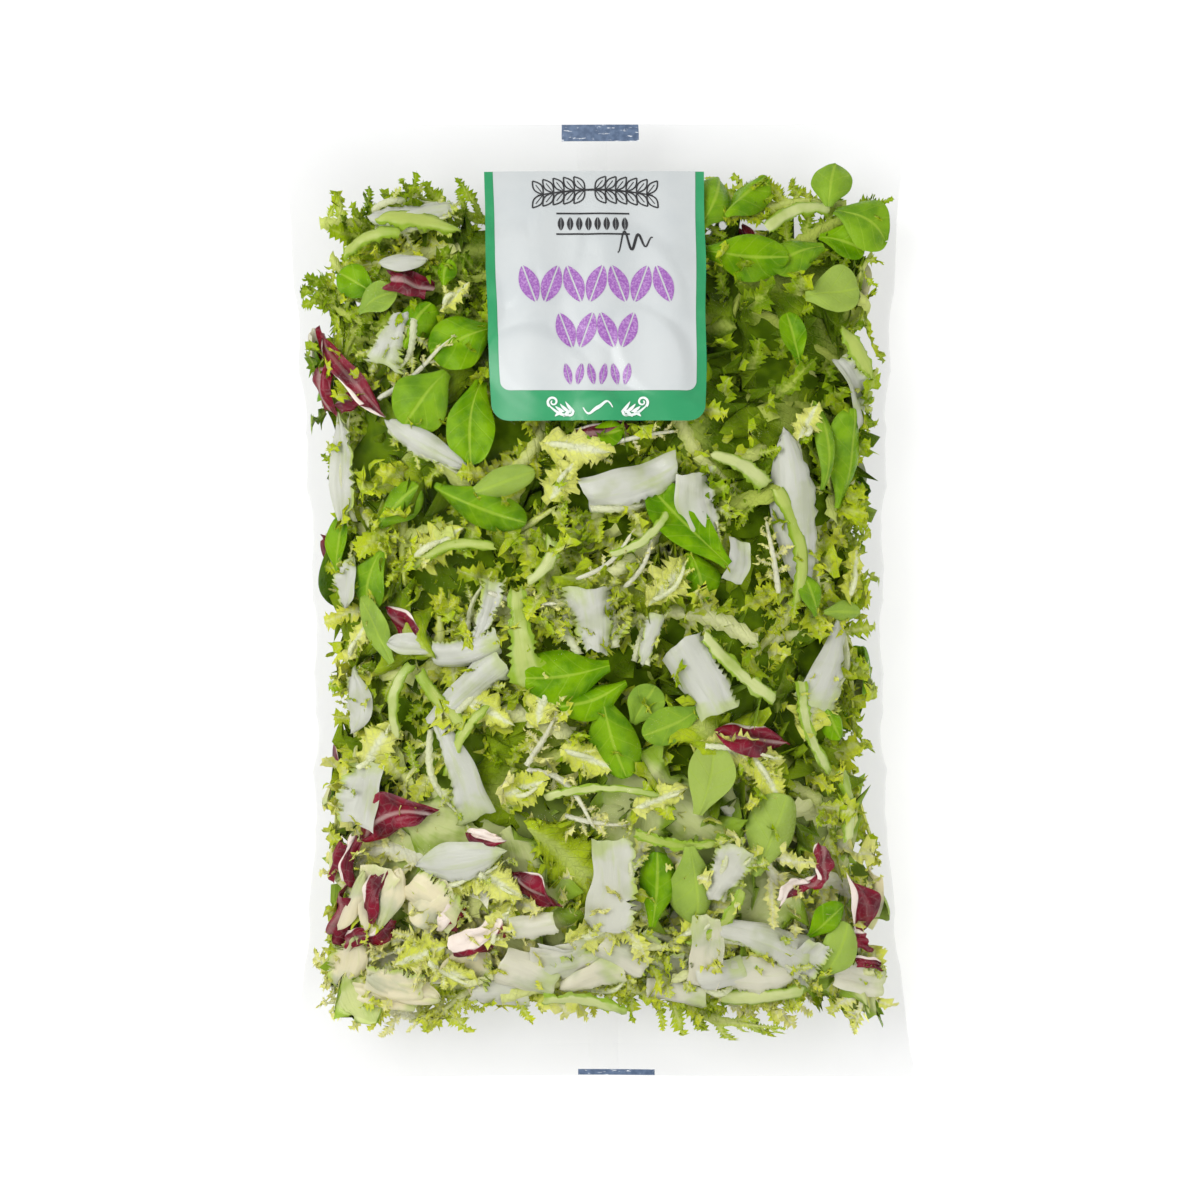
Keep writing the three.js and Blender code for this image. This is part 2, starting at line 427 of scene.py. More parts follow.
def addNode(tree, kind, inputs=None, **settings):
    # a node with its settings, and its inputs by name or number: a value, or another node's socket
    node = tree.nodes.new(kind)
    for key, value in settings.items():
        setattr(node, key, value)
    for key, value in (inputs or {}).items():
        if isinstance(value, bpy.types.NodeSocket):
            tree.links.new(value, node.inputs[key])
        else:
            node.inputs[key].default_value = value
    return node


# Steps of arithmetic between sockets and numbers. Each new node joins the tree of its first socket.

def calculate(operation, a, b=0.0):
    tree = (a if isinstance(a, bpy.types.NodeSocket) else b).id_data
    return addNode(tree, "ShaderNodeMath", {0: a, 1: b}, operation=operation).outputs[0]


def plus(a, b):
    return calculate("ADD", a, b)


def minus(a, b):
    return calculate("SUBTRACT", a, b)


def times(a, b):
    return calculate("MULTIPLY", a, b)


def larger(a, b):
    return calculate("MAXIMUM", a, b)


def sizeOf(a):
    return calculate("ABSOLUTE", a)


def bothWays(noise, reach):
    # a noise from 0 to 1 as a wander to both sides of 0
    return times(minus(noise, 0.5), reach)


def mixColour(share, a, b):
    inputs = {0: share, 6: a, 7: b}
    return addNode(share.id_data, "ShaderNodeMix", inputs, data_type="RGBA", clamp_factor=True).outputs[2]


def rangeOf(value, fromLow, fromHigh, toLow=0.0, toHigh=1.0):
    inputs = {0: value, 1: fromLow, 2: fromHigh, 3: toLow, 4: toHigh}
    return addNode(value.id_data, "ShaderNodeMapRange", inputs, interpolation_type="SMOOTHSTEP").outputs[0]


def thinLine(distance, width, start=0.0):
    # 1 on a line, falling to 0 at its width
    return rangeOf(distance, start, width, 1.0, 0.0)


def noiseOf(where, scale, detail=3.0, roughness=0.5):
    inputs = {"Vector": where, "Scale": scale, "Detail": detail, "Roughness": roughness}
    return addNode(where.id_data, "ShaderNodeTexNoise", inputs).outputs["Fac"]


def cellLines(where, scale, width):
    # fine lines between cells of uneven size
    inputs = {"Vector": where, "Scale": scale}
    cells = addNode(where.id_data, "ShaderNodeTexVoronoi", inputs, feature="DISTANCE_TO_EDGE")
    return thinLine(cells.outputs["Distance"], width)


def onObject(tree):
    return addNode(tree, "ShaderNodeTexCoord").outputs["Object"]


def splitUp(vector):
    return addNode(vector.id_data, "ShaderNodeSeparateXYZ", {0: vector}).outputs


def finishSurface(tree, colour, roughness, bump=None, strength=0.2, distance=0.3, through=0.0, shine=0.5,
                  tint=(1, 1, 1, 1)):
    # a Principled surface. A leaf also lets a share of the light through in its own colour.
    shader = addNode(tree, "ShaderNodeBsdfPrincipled", {"Base Color": colour, "Roughness": roughness})
    shader.inputs["Specular IOR Level"].default_value = shine
    shader.inputs["Specular Tint"].default_value = tint
    last = shader
    if bump is not None:
        inputs = {"Height": bump, "Strength": strength, "Distance": distance * mm}
        tree.links.new(addNode(tree, "ShaderNodeBump", inputs).outputs[0], shader.inputs["Normal"])
    if through > 0:
        glow = addNode(tree, "ShaderNodeBsdfTranslucent", {"Color": colour})
        last = addNode(tree, "ShaderNodeMixShader", {0: through, 1: shader.outputs[0], 2: glow.outputs[0]})
    addNode(tree, "ShaderNodeOutputMaterial", {"Surface": last.outputs[0]})
    return shader


def leafMaterial(name):
    # a new material, with what each leaf carries: how far from the rib, its own shade, how far along it,
    # and its flat pattern, whose width and length come from the rib's middle
    material, tree = newMaterial(name)
    carried = addNode(tree, "ShaderNodeAttribute", attribute_name="leaf").outputs["Vector"]
    blade, shade, along = splitUp(carried)
    flat = addNode(tree, "ShaderNodeUVMap", uv_map="flat").outputs[0]
    across, upward, _ = splitUp(flat)
    leaf = {"blade": blade, "shade": shade, "along": along, "flat": flat, "across": across, "upward": upward}
    return material, tree, {**leaf, "where": onObject(tree)}


# How each kind of leaf takes the light: its bump, the share that it lets through, and its gloss
leafShine = (0.75, 0.95, 0.3, 1)  # the colour of the gloss on green leaves
leafFinish = {
    "curly": {"strength": 0.6, "distance": 0.6, "through": 0.38, "shine": 0.14, "tint": leafShine},
    "spoon": {"strength": 0.3, "distance": 0.5, "through": 0.2, "shine": 0.24, "tint": leafShine},
    "rib": {"strength": 0.5, "distance": 1.2, "through": 0.36, "shine": 0.34},
    "red": {"strength": 0.3, "distance": 0.5, "through": 0.12, "shine": 0.3},
}


def curlyMaterial(name, rib, young, old):
    # pale ribs that turn green towards the teeth, blistered between fine pale veins, with a wet shine
    material, tree, leaf = leafMaterial(name)
    mottle = noiseOf(leaf["where"], 100, 4)
    fine = noiseOf(leaf["where"], 800, 3)
    net = cellLines(leaf["where"], 420.0, 0.09)
    slanted = minus(leaf["upward"], times(sizeOf(leaf["across"]), 0.8))
    wandering = plus(times(slanted, 1.9), times(mottle, 1.3))
    phase = sizeOf(minus(calculate("FRACT", wandering), 0.5))
    vein = larger(times(net, 0.55), thinLine(phase, 0.1))
    age = plus(leaf["shade"], bothWays(mottle, 2.2))
    green = mixColour(rangeOf(age, 0.0, 1.0), young, old)
    colour = mixColour(rangeOf(plus(leaf["blade"], bothWays(fine, 0.5)), 0.02, 0.48), rib, green)
    colour = mixColour(times(vein, 0.26), colour, rib)
    height = minus(times(fine, 0.5), vein)
    finishSurface(tree, colour, rangeOf(fine, 0.3, 0.7, 0.26, 0.5), height, **leafFinish["curly"])
    return material


def spoonMaterial(name, top, edge, vein, under):
    # smooth green with a pale midrib and arching side veins, and a grey-green underside
    material, tree, leaf = leafMaterial(name)
    sideways = sizeOf(leaf["across"])
    wobble = times(noiseOf(leaf["where"], 60, 2), 0.5)
    arch = minus(leaf["upward"], times(sideways, 0.9))
    phase = calculate("FRACT", plus(times(arch, 1.5), wobble))
    sideVein = thinLine(sizeOf(minus(phase, 0.5)), 0.07)
    midVein = thinLine(sideways, 0.09, 0.02)
    mottle = noiseOf(leaf["where"], 120, 4)
    fine = noiseOf(leaf["where"], 900, 2)
    green = mixColour(rangeOf(mottle, 0.35, 0.7), top, edge)
    green = mixColour(times(sideVein, 0.22), green, vein)
    green = mixColour(times(midVein, 0.5), green, vein)
    pale = mixColour(times(larger(sideVein, midVein), 0.45), under, vein)
    pale = mixColour(times(mottle, 0.3), pale, edge)
    colour = mixColour(leaf["shade"], green, pale)
    height = minus(fine, larger(midVein, times(sideVein, 0.6)))
    finishSurface(tree, colour, rangeOf(fine, 0.3, 0.7, 0.2, 0.34), height, **leafFinish["spoon"])
    return material


def ribMaterial(name, white, cream, wet, green):
    # long fibres down a white or cream rib with wetter patches, that turns green towards its frilled edge
    material, tree, leaf = leafMaterial(name)
    drawnOut = {0: leaf["across"], 1: times(leaf["upward"], 0.12), 2: leaf["shade"]}
    fibre = noiseOf(addNode(tree, "ShaderNodeCombineXYZ", drawnOut).outputs[0], 4.5, 4)
    mottle = noiseOf(leaf["where"], 70, 3)
    base = mixColour(rangeOf(leaf["shade"], 0.2, 0.9), white, cream)
    base = mixColour(rangeOf(mottle, 0.48, 0.66, 0.0, 0.7), base, wet)
    base = mixColour(rangeOf(fibre, 0.5, 0.75, 0.0, 0.3), base, green)
    tip = plus(leaf["along"], bothWays(mottle, 1.4))
    base = mixColour(rangeOf(tip, 0.7, 1.1, 0.0, 0.5), base, green)
    edge = rangeOf(plus(leaf["blade"], bothWays(mottle, 0.6)), 0.66, 1.02)
    colour = mixColour(edge, base, green)
    finishSurface(tree, colour, rangeOf(fibre, 0.3, 0.7, 0.2, 0.34), fibre, **leafFinish["rib"])
    return material


def redMaterial(name, red, dark, white):
    # deep red between white veins that part from a white midrib
    material, tree, leaf = leafMaterial(name)
    wobble = bothWays(noiseOf(leaf["where"], 80, 3), 0.5)
    midVein = thinLine(sizeOf(plus(leaf["across"], times(wobble, 0.3))), 0.13, 0.02)
    net = cellLines(leaf["flat"], 2.6, 0.08)
    mottle = noiseOf(leaf["where"], 110, 4)
    colour = mixColour(rangeOf(mottle, 0.3, 0.7), red, dark)
    colour = mixColour(times(net, 0.05), colour, white)
    colour = mixColour(times(midVein, rangeOf(leaf["shade"], 0.0, 0.2, 0.3, 0.0)), colour, white)
    ribSide = thinLine(plus(leaf["blade"], times(wobble, 2.8)), 0.55, 0.35)
    colour = mixColour(ribSide, colour, white)
    finishSurface(tree, colour, rangeOf(mottle, 0.3, 0.7, 0.3, 0.42), minus(mottle, net), **leafFinish["red"])
    return material


filmLook = {
    "mirror": 0.001,
    "slantMirror": 0.9,
    "haze": (0.0, 0.001),
    "milk": (0.9, 0.92, 0.92, 1),
    "roughness": 0.05,
    "tint": (0.91, 0.911, 0.911, 1),
}


def filmMaterial(name, look):
    # clear film: it lets nearly all light through, with a faint haze, and mirrors more at a slant
    material, tree = newMaterial(name)
    slant = addNode(tree, "ShaderNodeLayerWeight", {"Blend": 0.5}).outputs["Facing"]
    mirror = plus(times(calculate("POWER", slant, 5.0), look["slantMirror"]), look["mirror"])
    haze = rangeOf(noiseOf(onObject(tree), 14, 4), 0.35, 0.75, *look["haze"])
    clear = addNode(tree, "ShaderNodeBsdfTransparent", {"Color": look["tint"]})
    milk = addNode(tree, "ShaderNodeBsdfDiffuse", {"Color": look["milk"]})
    gloss = addNode(tree, "ShaderNodeBsdfGlossy", {"Color": (1, 1, 1, 1), "Roughness": look["roughness"]})
    body = addNode(tree, "ShaderNodeMixShader", {0: haze, 1: clear.outputs[0], 2: milk.outputs[0]})
    whole = addNode(tree, "ShaderNodeMixShader", {0: mirror, 1: body.outputs[0], 2: gloss.outputs[0]})
    addNode(tree, "ShaderNodeOutputMaterial", {"Surface": whole.outputs[0]})
    return material


def inkMaterial(name, colour, variation, roughness, scale):
    # ink on film, a little uneven
    material, tree = newMaterial(name)
    uneven = noiseOf(onObject(tree), scale, 5, 0.6)
    finishSurface(tree, mixColour(rangeOf(uneven, 0.4, 0.68), linear(*colour), linear(*variation)), roughness)
    return material


# Leaves. Each builder gives middle surfaces in the leaf's own frame: x across, y to the tip, z up.

rng = np.random.default_rng(11)  # one order of draws for all the leaves
anyPhase = (0, 6.28)

# A curly leaf. Pairs are the least and the most that a leaf, or one of its parts, may have.
curlyForm = {
    "sway": 0.16,  # how far the rib bends aside, as a share of the length
    "wave": (1, 4),
    "rib": {"rows": 22, "across": [-1, -0.4, 0, 0.4, 1], "notch": 0.7, "raised": 0.3, "ridge": 1.1},
    "lobe": {
        "rows": 23,
        "shift": 0.03,
        "reach": (0.65, 1.3),
        "turn": (30, 82),
        "lift": (-0.5, 0.6),
        "bend": (0.3, 1.0),
        "twist": 0.9,
        "half": (0.12, 0.25),  # half its width, as a share of its reach
        "swells": (1.6, 2.8),
        "tooth": (1.2, 3.2),
        "lean": (0.2, 1.4),
        "ruffles": (2.4, 4.2),
        "ruffle": (0.25, 0.6),
        "flutter": 0.3,
    },
    "fringe": {
        "shift": 0.12,
        "turn": (10, 80),
        "tilt": (-0.3, 1.1),
        "length": (0.2, 0.42),
        "half": (0.12, 0.22),
        "arc": (0.6, 2.8),
        "widths": [0.9, 1.0, 0.6, 0.12],
        "uneven": (0.75, 1.3),
    },
    "thick": (1.5, 0.5, 0.4),  # the rib, the lobes and the fringe
}


def plusMinus(reach, count=None):
    # a draw to both sides of 0
    return rng.uniform(-reach, reach, count)


def curlySpine(length):
    # the rib's middle line: it bends aside by half a sine, and waves up and down by a shorter one
    sway = plusMinus(curlyForm["sway"]) * length
    wave = rng.uniform(*curlyForm["wave"])
    phase = rng.uniform(*anyPhase)

    def spine(t):
        return np.stack([sway * np.sin(np.pi * t), (t - 0.5) * length, wave * np.sin(5 * t + phase)], -1)

    return spine


def curlyRib(spine, width):
    # a strip along the middle line that narrows to the tip, raised along its middle, with every second
    # edge point drawn in
    form = curlyForm["rib"]
    t = np.linspace(0, 1, form["rows"])
    v = np.array(form["across"])
    notch = np.where(np.arange(form["rows"]) % 2 == 0, 1.0, form["notch"])
    half = (0.062 * (1.25 - t) + 0.035 * np.sin(np.pi * t)) * width
    rib = spine(t)[:, None, :] + np.zeros((form["rows"], len(v), 3))
    rib[..., 0] += v * half[:, None] * np.where(np.abs(v) == 1, notch[:, None], 0.8)
    rib[..., 2] += form["raised"] + form["ridge"] * (1 - np.abs(v)) * (1.2 - t)[:, None]
    blade = np.abs(v)[None, :] * (0.1 + 0.3 * t[:, None])
    return rib[None], blade[None], t[None, :, None] + 0 * blade[None]


def curlyLobes(spine, width, lobes, curl):
    # where each lobe leaves the rib, how long it is, and a function for its course: it bends along a
    # circle's arc and rolls about its own length, more towards its tip
    form = curlyForm["lobe"]
    at = np.clip(np.linspace(0.08, 1.0, lobes) + plusMinus(form["shift"], lobes), 0.04, 1)
    side = np.where(np.arange(lobes) % 2 == 0, 1.0, -1.0)
    reach = width * 0.54 * np.sin(np.pi * (0.22 + 0.6 * at)) * rng.uniform(*form["reach"], lobes)
    turned = np.radians(rng.uniform(*form["turn"], lobes) * (1 - 0.8 * at**2)) * side
    lift = rng.uniform(*form["lift"], lobes)
    bend = rng.uniform(*form["bend"], lobes) * curl * rng.choice([-1, 1], lobes, p=[0.45, 0.55])
    twist = plusMinus(form["twist"], lobes)
    rollPhase = rng.uniform(*anyPhase, lobes)
    heading = np.stack([np.sin(turned) * np.cos(lift), np.cos(turned) * np.cos(lift), np.sin(lift)], -1)
    sideways = np.stack([np.cos(turned), -np.sin(turned), np.zeros(lobes)], -1)
    upward = np.cross(sideways, heading)

    def onLobe(q):
        # the place, and the directions ahead, across and up, a share q of the way along each lobe
        angle = bend[:, None] * q
        roll = (twist[:, None] * q + 0.5 * np.sin(7 * q + rollPhase[:, None]))[..., None]
        d, e, n = heading[:, None], sideways[:, None], upward[:, None]
        forward = (reach / bend)[:, None] * np.sin(angle)
        rise = (reach / bend)[:, None] * (1 - np.cos(angle))
        place = spine(at)[:, None] + d * forward[..., None] + n * rise[..., None]
        ahead = d * np.cos(angle)[..., None] + n * np.sin(angle)[..., None]
        lifted = n * np.cos(angle)[..., None] - d * np.sin(angle)[..., None]
        across = e * np.cos(roll) + lifted * np.sin(roll)
        return place, ahead, across, lifted * np.cos(roll) - e * np.sin(roll)

    return at, reach, rollPhase, onLobe


def lobeSheets(at, reach, rollPhase, onLobe):
    # a lobe's half width swells and narrows as a sine on each side, every second edge point stands out
    # and leans ahead for a tooth, and its edges wave up and down
    form = curlyForm["lobe"]
    lobes, rows = len(at), form["rows"]
    q = np.linspace(0, 1, rows)[None, :] + np.zeros((lobes, 1))
    w = np.array([-1.0, 0.0, 1.0])
    place, ahead, across, up = onLobe(q)
    half = (reach * rng.uniform(*form["half"], lobes))[:, None]
    half = (half * (0.3 + 0.7 * softStep(0, 0.35, q)) * np.sqrt(1 - 0.94 * q**4))[..., None]
    q = q[..., None]
    sidePhase = rollPhase[:, None, None] + 2.2 * w
    swell = 0.5 + 0.5 * np.sin(2 * np.pi * rng.uniform(*form["swells"], (lobes, 1, 1)) * q + sidePhase)
    out = (np.arange(rows) % 2 == 0)[None, :, None] * np.abs(w)
    tooth = np.clip(rng.uniform(*form["tooth"], (lobes, rows, 3)) / half, 0.25, 0.9)
    outline = (0.45 + 0.55 * swell) * (1 - 0.5 * tooth * (1 - out)) + 0.5 * tooth * out
    sheet = place[:, :, None] + across[:, :, None] * (w * half * outline)[..., None]
    lean = (0.35 * swell + 0.4 * out * rng.uniform(*form["lean"], (lobes, rows, 3)) * tooth) * np.abs(w)
    sheet = sheet + ahead[:, :, None] * (half * lean)[..., None]
    ruffle = np.sin(2 * np.pi * rng.uniform(*form["ruffles"], (lobes, 1, 1)) * q + sidePhase)
    flutter = rng.uniform(*form["ruffle"], (lobes, 1, 1)) * ruffle * np.abs(w) - 0.2 * (1 - np.abs(w))
    flutter = flutter + out * plusMinus(form["flutter"], (lobes, rows, 3))
    sheet = sheet + up[:, :, None] * (half * flutter)[..., None]
    blade = 0.03 + 0.22 * q + 0.7 * np.abs(w) * (0.4 + 0.6 * q)
    return sheet, blade, at[:, None, None] + 0 * blade


def fringeSheets(count, at, reach, onLobe):
    # narrow pieces at the lobes' edges, each turned out by an angle, tilted, and curled along an arc of
    # its own: a point is the root, plus the sine of its angle on the arc ahead and the rest of its cosine up
    form = curlyForm["fringe"]
    size = (len(at), count)
    q = np.clip(np.linspace(0.3, 1.0, count)[None, :] + plusMinus(form["shift"], size), 0.12, 1)
    place, ahead, across, up = onLobe(q)
    side = rng.choice([-1.0, 1.0], size)
    place = place + across * (side * 0.16 * reach[:, None] * np.sqrt(1 - 0.9 * q**4))[..., None]
    out = side * np.radians(rng.uniform(*form["turn"], size)) * (1 - 0.6 * q**4)
    tilt = rng.uniform(*form["tilt"], size)
    length = reach[:, None] * rng.uniform(*form["length"], size)
    half = length * rng.uniform(*form["half"], size)
    arc = rng.uniform(*form["arc"], size) * rng.choice([-1, 1], size, p=[0.4, 0.6])
    level = ahead * np.cos(out)[..., None] + across * np.sin(out)[..., None]
    sideways = across * np.cos(out)[..., None] - ahead * np.sin(out)[..., None]
    heading = level * np.cos(tilt)[..., None] + up * np.sin(tilt)[..., None]
    upward = np.cross(sideways, heading)
    w = np.array([-1.0, 0.0, 1.0])
    r = np.linspace(0, 1, len(form["widths"]))
    wide = np.array(form["widths"])[:, None] * rng.uniform(*form["uneven"], size + (len(r), 3))
    forward = length[..., None] * np.sin(arc[..., None] * r) / arc[..., None]
    rise = length[..., None] * (1 - np.cos(arc[..., None] * r)) / arc[..., None]
    sheet = place[:, :, None, None] + heading[:, :, None, None] * (forward[..., None] + 0 * w)[..., None]
    sheet = sheet + upward[:, :, None, None] * (rise[..., None] + 0 * w)[..., None]
    sheet = sheet + sideways[:, :, None, None] * (half[..., None, None] * w * wide)[..., None]
    blade = 0.2 + 0.2 * q[..., None, None] + 0.4 * r[:, None] + 0.2 * np.abs(w)
    along = at[:, None, None, None] + 0 * blade
    return tuple(part.reshape((-1,) + part.shape[2:]) for part in (sheet, blade, along))


def curlyLeaf(length, width, lobes, curl, fringe):
    # a waved rib, then lobes on both sides of it, and the fringe. A leaf without one makes the same draws
    # as one with a single piece on each lobe.
    spine = curlySpine(length)
    rib = curlyRib(spine, width)
    at, reach, rollPhase, onLobe = curlyLobes(spine, width, lobes, curl)
    body = lobeSheets(at, reach, rollPhase, onLobe)
    pieces = fringeSheets(max(fringe, 1), at, reach, onLobe)
    return [rib, body, pieces] if fringe > 0 else [rib, body]


flatScale = 0.1  # the flat pattern counts centimetres


def addCurly(heap, place, length, width, shade, lobes, curl, fringe, roll=0.0, pitch=0.0):
    # a curly leaf with its pattern, laid in its place
    parts = []
    sheets = curlyLeaf(length, width, lobes, curl, fringe)
    for (sheet, blade, along), thick in zip(sheets, curlyForm["thick"]):
        data = np.stack([blade, np.full(sheet.shape[:3], shade), along], -1)
        parts.append((sheet, thick, data, sheet[..., :2] * flatScale))
    layLeaf(heap, parts, place, roll, pitch)


def profileOf(kind, u):
    # half the width along a leaf, 1 at its widest: a rounded end on a long neck, powers of half a sine,
    # a straight widening, or nearly the same all along
    if kind == "spoon":
        rounded = np.sqrt(np.clip(1 - ((u - 0.6) / 0.4) ** 2, 0, 1))
        shape = np.where(u < 0.6, 0.2 + 0.8 * softStep(-0.04, 0.56, u), rounded)
    elif kind == "oval":
        shape = np.sin(np.pi * np.clip(u, 0, 1) ** 0.9) ** 0.6
    elif kind == "blade":
        shape = np.sin(np.pi * np.clip(u, 0, 1) ** 0.85) ** 0.75
    elif kind == "wedge":
        shape = 0.35 + 0.65 * u
    else:
        shape = 0.86 + 0.14 * np.sin(2.4 * u + 0.5)
    return np.maximum(shape / shape.max(), 0.03)


def broadLeaf(length, width, kind, frill=(0, 0), teeth=0.0, cup=0.1, bend=0.0, vee=0.0, ragged=0.0,
              rows=24, columns=9, flutes=0.0, lobed=0.0, crumple=0.03, sway=0.0):
    # a grid whose half width follows the profile. The frill waves each edge up and down by a sine that
    # grows with a power of the way out, and teeth pull every second edge point in. Ragged edges wander
    # by slow sines and the ends are cut askew. The middle may cup, bend, fold to a vee or crumple.
    u = np.linspace(0, 1, rows)[:, None]
    u = 1 - (1 - u) ** 1.5 if kind == "spoon" else u
    v = np.linspace(-1, 1, columns)[None, :]
    half = width / 2 * profileOf(kind, u)
    a = rng.uniform(*anyPhase, 12)
    sideFrill = np.where(v < 0, frill[0], frill[1])
    edge = np.abs(v) ** 2.2
    odd = (np.arange(rows) % 2)[:, None]
    notch = 1 - teeth * odd * np.abs(v) ** 5 * (0.5 + 0.5 * np.sin(17 * u + a[6])) * (sideFrill > 0)
    lobes = np.sin(2 * np.pi * u * rng.uniform(3.5, 5) + np.where(v < 0, a[0], a[1]))
    lobes = 1 - lobed * (0.5 + 0.5 * lobes) * edge
    wander = np.where(v < 0, 0.6 * np.sin(5 * u + a[2]) + 0.4 * np.sin(13 * u + a[3]),
                      0.6 * np.sin(4.3 * u + a[4]) + 0.4 * np.sin(11 * u + a[5]))
    x = v * half * notch * lobes * (1 + (0.05 + ragged) * wander) + sway * length * np.sin(np.pi * u)
    endCut = (1 - u) ** 2 * (np.sin(2.1 * v + a[7]) + 0.3 * np.sin(7 * v + a[8]))
    endCut = endCut + u**2 * (np.sin(2.1 * v + a[9]) + 0.3 * np.sin(7 * v + a[10]))
    y = (u - 0.5) * length + ragged * width * 0.9 * endCut
    waves = length / rng.uniform(7, 10)
    ripple = np.sin(2 * np.pi * u * waves + np.where(v < 0, a[4], a[5]))
    ripple = ripple + 0.5 * np.sin(2 * np.pi * u * waves * 2.3 + a[2])
    z = sideFrill * edge * ripple + cup * half * v**2 + bend * length * (u - 0.5) ** 2 + vee * np.abs(x)
    z = z + flutes * np.cos(2.6 * np.pi * v + a[0]) * (0.4 + 0.6 * u)
    rough = np.sin(5 * u + 2 * v + a[1]) + 0.6 * np.sin(9 * u - 3 * v + a[2])
    rough = rough + 0.4 * np.sin(6 * v + 4 * u + a[11])
    z = z + crumple * width * rough
    return np.stack([x, y, z], -1)[None], u + 0 * v, v + 0 * u


def bladeOf(rule, u, v, shade, frill):
    # how far from the rib each point counts as, from 0 to 1
    if rule == "edge":  # 0 at the midrib and 1 at the edges
        return np.minimum(1, 1.7 * np.abs(v))
    if rule == "half":  # a share of the width, from the left, is rib
        return softStep(shade - 0.16, shade + 0.16, (v + 1) / 2 + 0.1 * np.sin(6 * u + shade * 40))
    if rule == "frill":  # only an edge with a frill turns green
        return np.abs(v) * np.where(v < 0, frill[0] > 0, frill[1] > 0)
    return np.ones_like(u)


def addBroad(heap, place, length, width, kind, shade, thick, bladeRule, roll, pitch, **form):
    # a broad leaf with its pattern, laid in its place
    sheet, u, v = broadLeaf(length, width, kind, **form)
    blade = bladeOf(bladeRule, u, v, shade, form.get("frill", (0, 0)))
    data = np.stack([blade, np.full(u.shape, shade), u], -1)[None]
    flat = np.stack([v * width / 2, u * length], -1)[None] * flatScale
    layLeaf(heap, [(sheet, thick, data, flat)], place, roll, pitch)


# The leaves as the photograph shows them. Each begins with the pixel of its middle, its length and width in
# millimetres, the angle that its tip points at and its depth under the film.

# Lamb's lettuce: at the end, how far its pale underside shows
spoonLeaves = {
    "back": 22,
    "shown": [
        ((461, 334), 28, 23.2, 200, 1.6, 0), ((424, 397), 28.8, 23.2, 232, 0.8, 0.1),
        ((475, 420), 33.6, 20, 262, 2.4, 0), ((366, 580), 24.8, 17.6, 250, 2.6, 0.1),
        ((372, 630), 29.6, 12.8, 120, 2.4, 0.6), ((564, 672), 35.2, 22.4, 188, 0.8, 0),
        ((592, 694), 28, 13.6, 200, 1.6, 0), ((690, 524), 43.2, 19.2, 133, 0.8, 0),
        ((698, 578), 20.8, 16, 285, 4.4, 0), ((614, 738), 32.8, 20, 285, 2, 0.05),
        ((674, 722), 26.4, 14.4, 205, 1.6, 0.25), ((646, 706), 17.6, 14.4, 60, 3.2, 0.4),
        ((854, 458), 40, 20, 85, 0.8, 0.1), ((826, 442), 36, 8.8, 92, 2.6, 0.2),
        ((833, 181), 18.4, 16.8, 80, 0.9, 0.3), ((866, 222), 27.2, 21.6, 330, 1, 0.15),
        ((848, 238), 20.8, 13.6, 340, 2.6, 0), ((838, 287), 23.2, 20, 5, 1, 0.85),
        ((746, 249), 35.2, 18.4, 352, 1.8, 0), ((712, 194), 24.8, 16.8, 70, 2.4, 0.1),
        ((746, 190), 23.2, 14.4, 40, 1.8, 0.05), ((796, 334), 21.6, 10.4, 100, 3.2, 0),
        ((709, 779), 29.6, 18.4, 75, 0.8, 1), ((772, 838), 35.2, 20.8, 70, 0.8, 0.9),
        ((696, 889), 32.8, 20, 275, 0.8, 0.75), ((656, 892), 29.6, 13.6, 85, 1.8, 0),
        ((836, 955), 27.2, 14.4, 62, 0.8, 0.8), ((830, 926), 20, 12.8, 45, 1.8, 0),
        ((354, 281), 17.6, 14.4, 150, 2, 0), ((374, 298), 18.4, 12.8, 30, 1.2, 0.6),
        ((416, 322), 20.8, 15.2, 60, 2.8, 0), ((445, 270), 11.2, 8, 80, 1.6, 0),
        ((813, 596), 16.8, 10.4, 110, 1.2, 0.1), ((846, 613), 17.6, 8, 0, 1, 0.6),
        ((836, 724), 13.6, 9.6, 300, 2, 0), ((478, 506), 38.4, 16, 338, 1.6, 0.05),
        ((498, 484), 29.6, 11.2, 20, 0.8, 0.75), ((604, 430), 16, 10.4, 10, 3, 0),
        ((395, 505), 24, 14.4, 40, 3.4, 0.1), ((330, 545), 24, 12, 80, 3, 0),
        ((690, 205), 24, 16, 100, 3.4, 0), ((800, 250), 24, 16, 200, 3.4, 0.1),
    ],
}

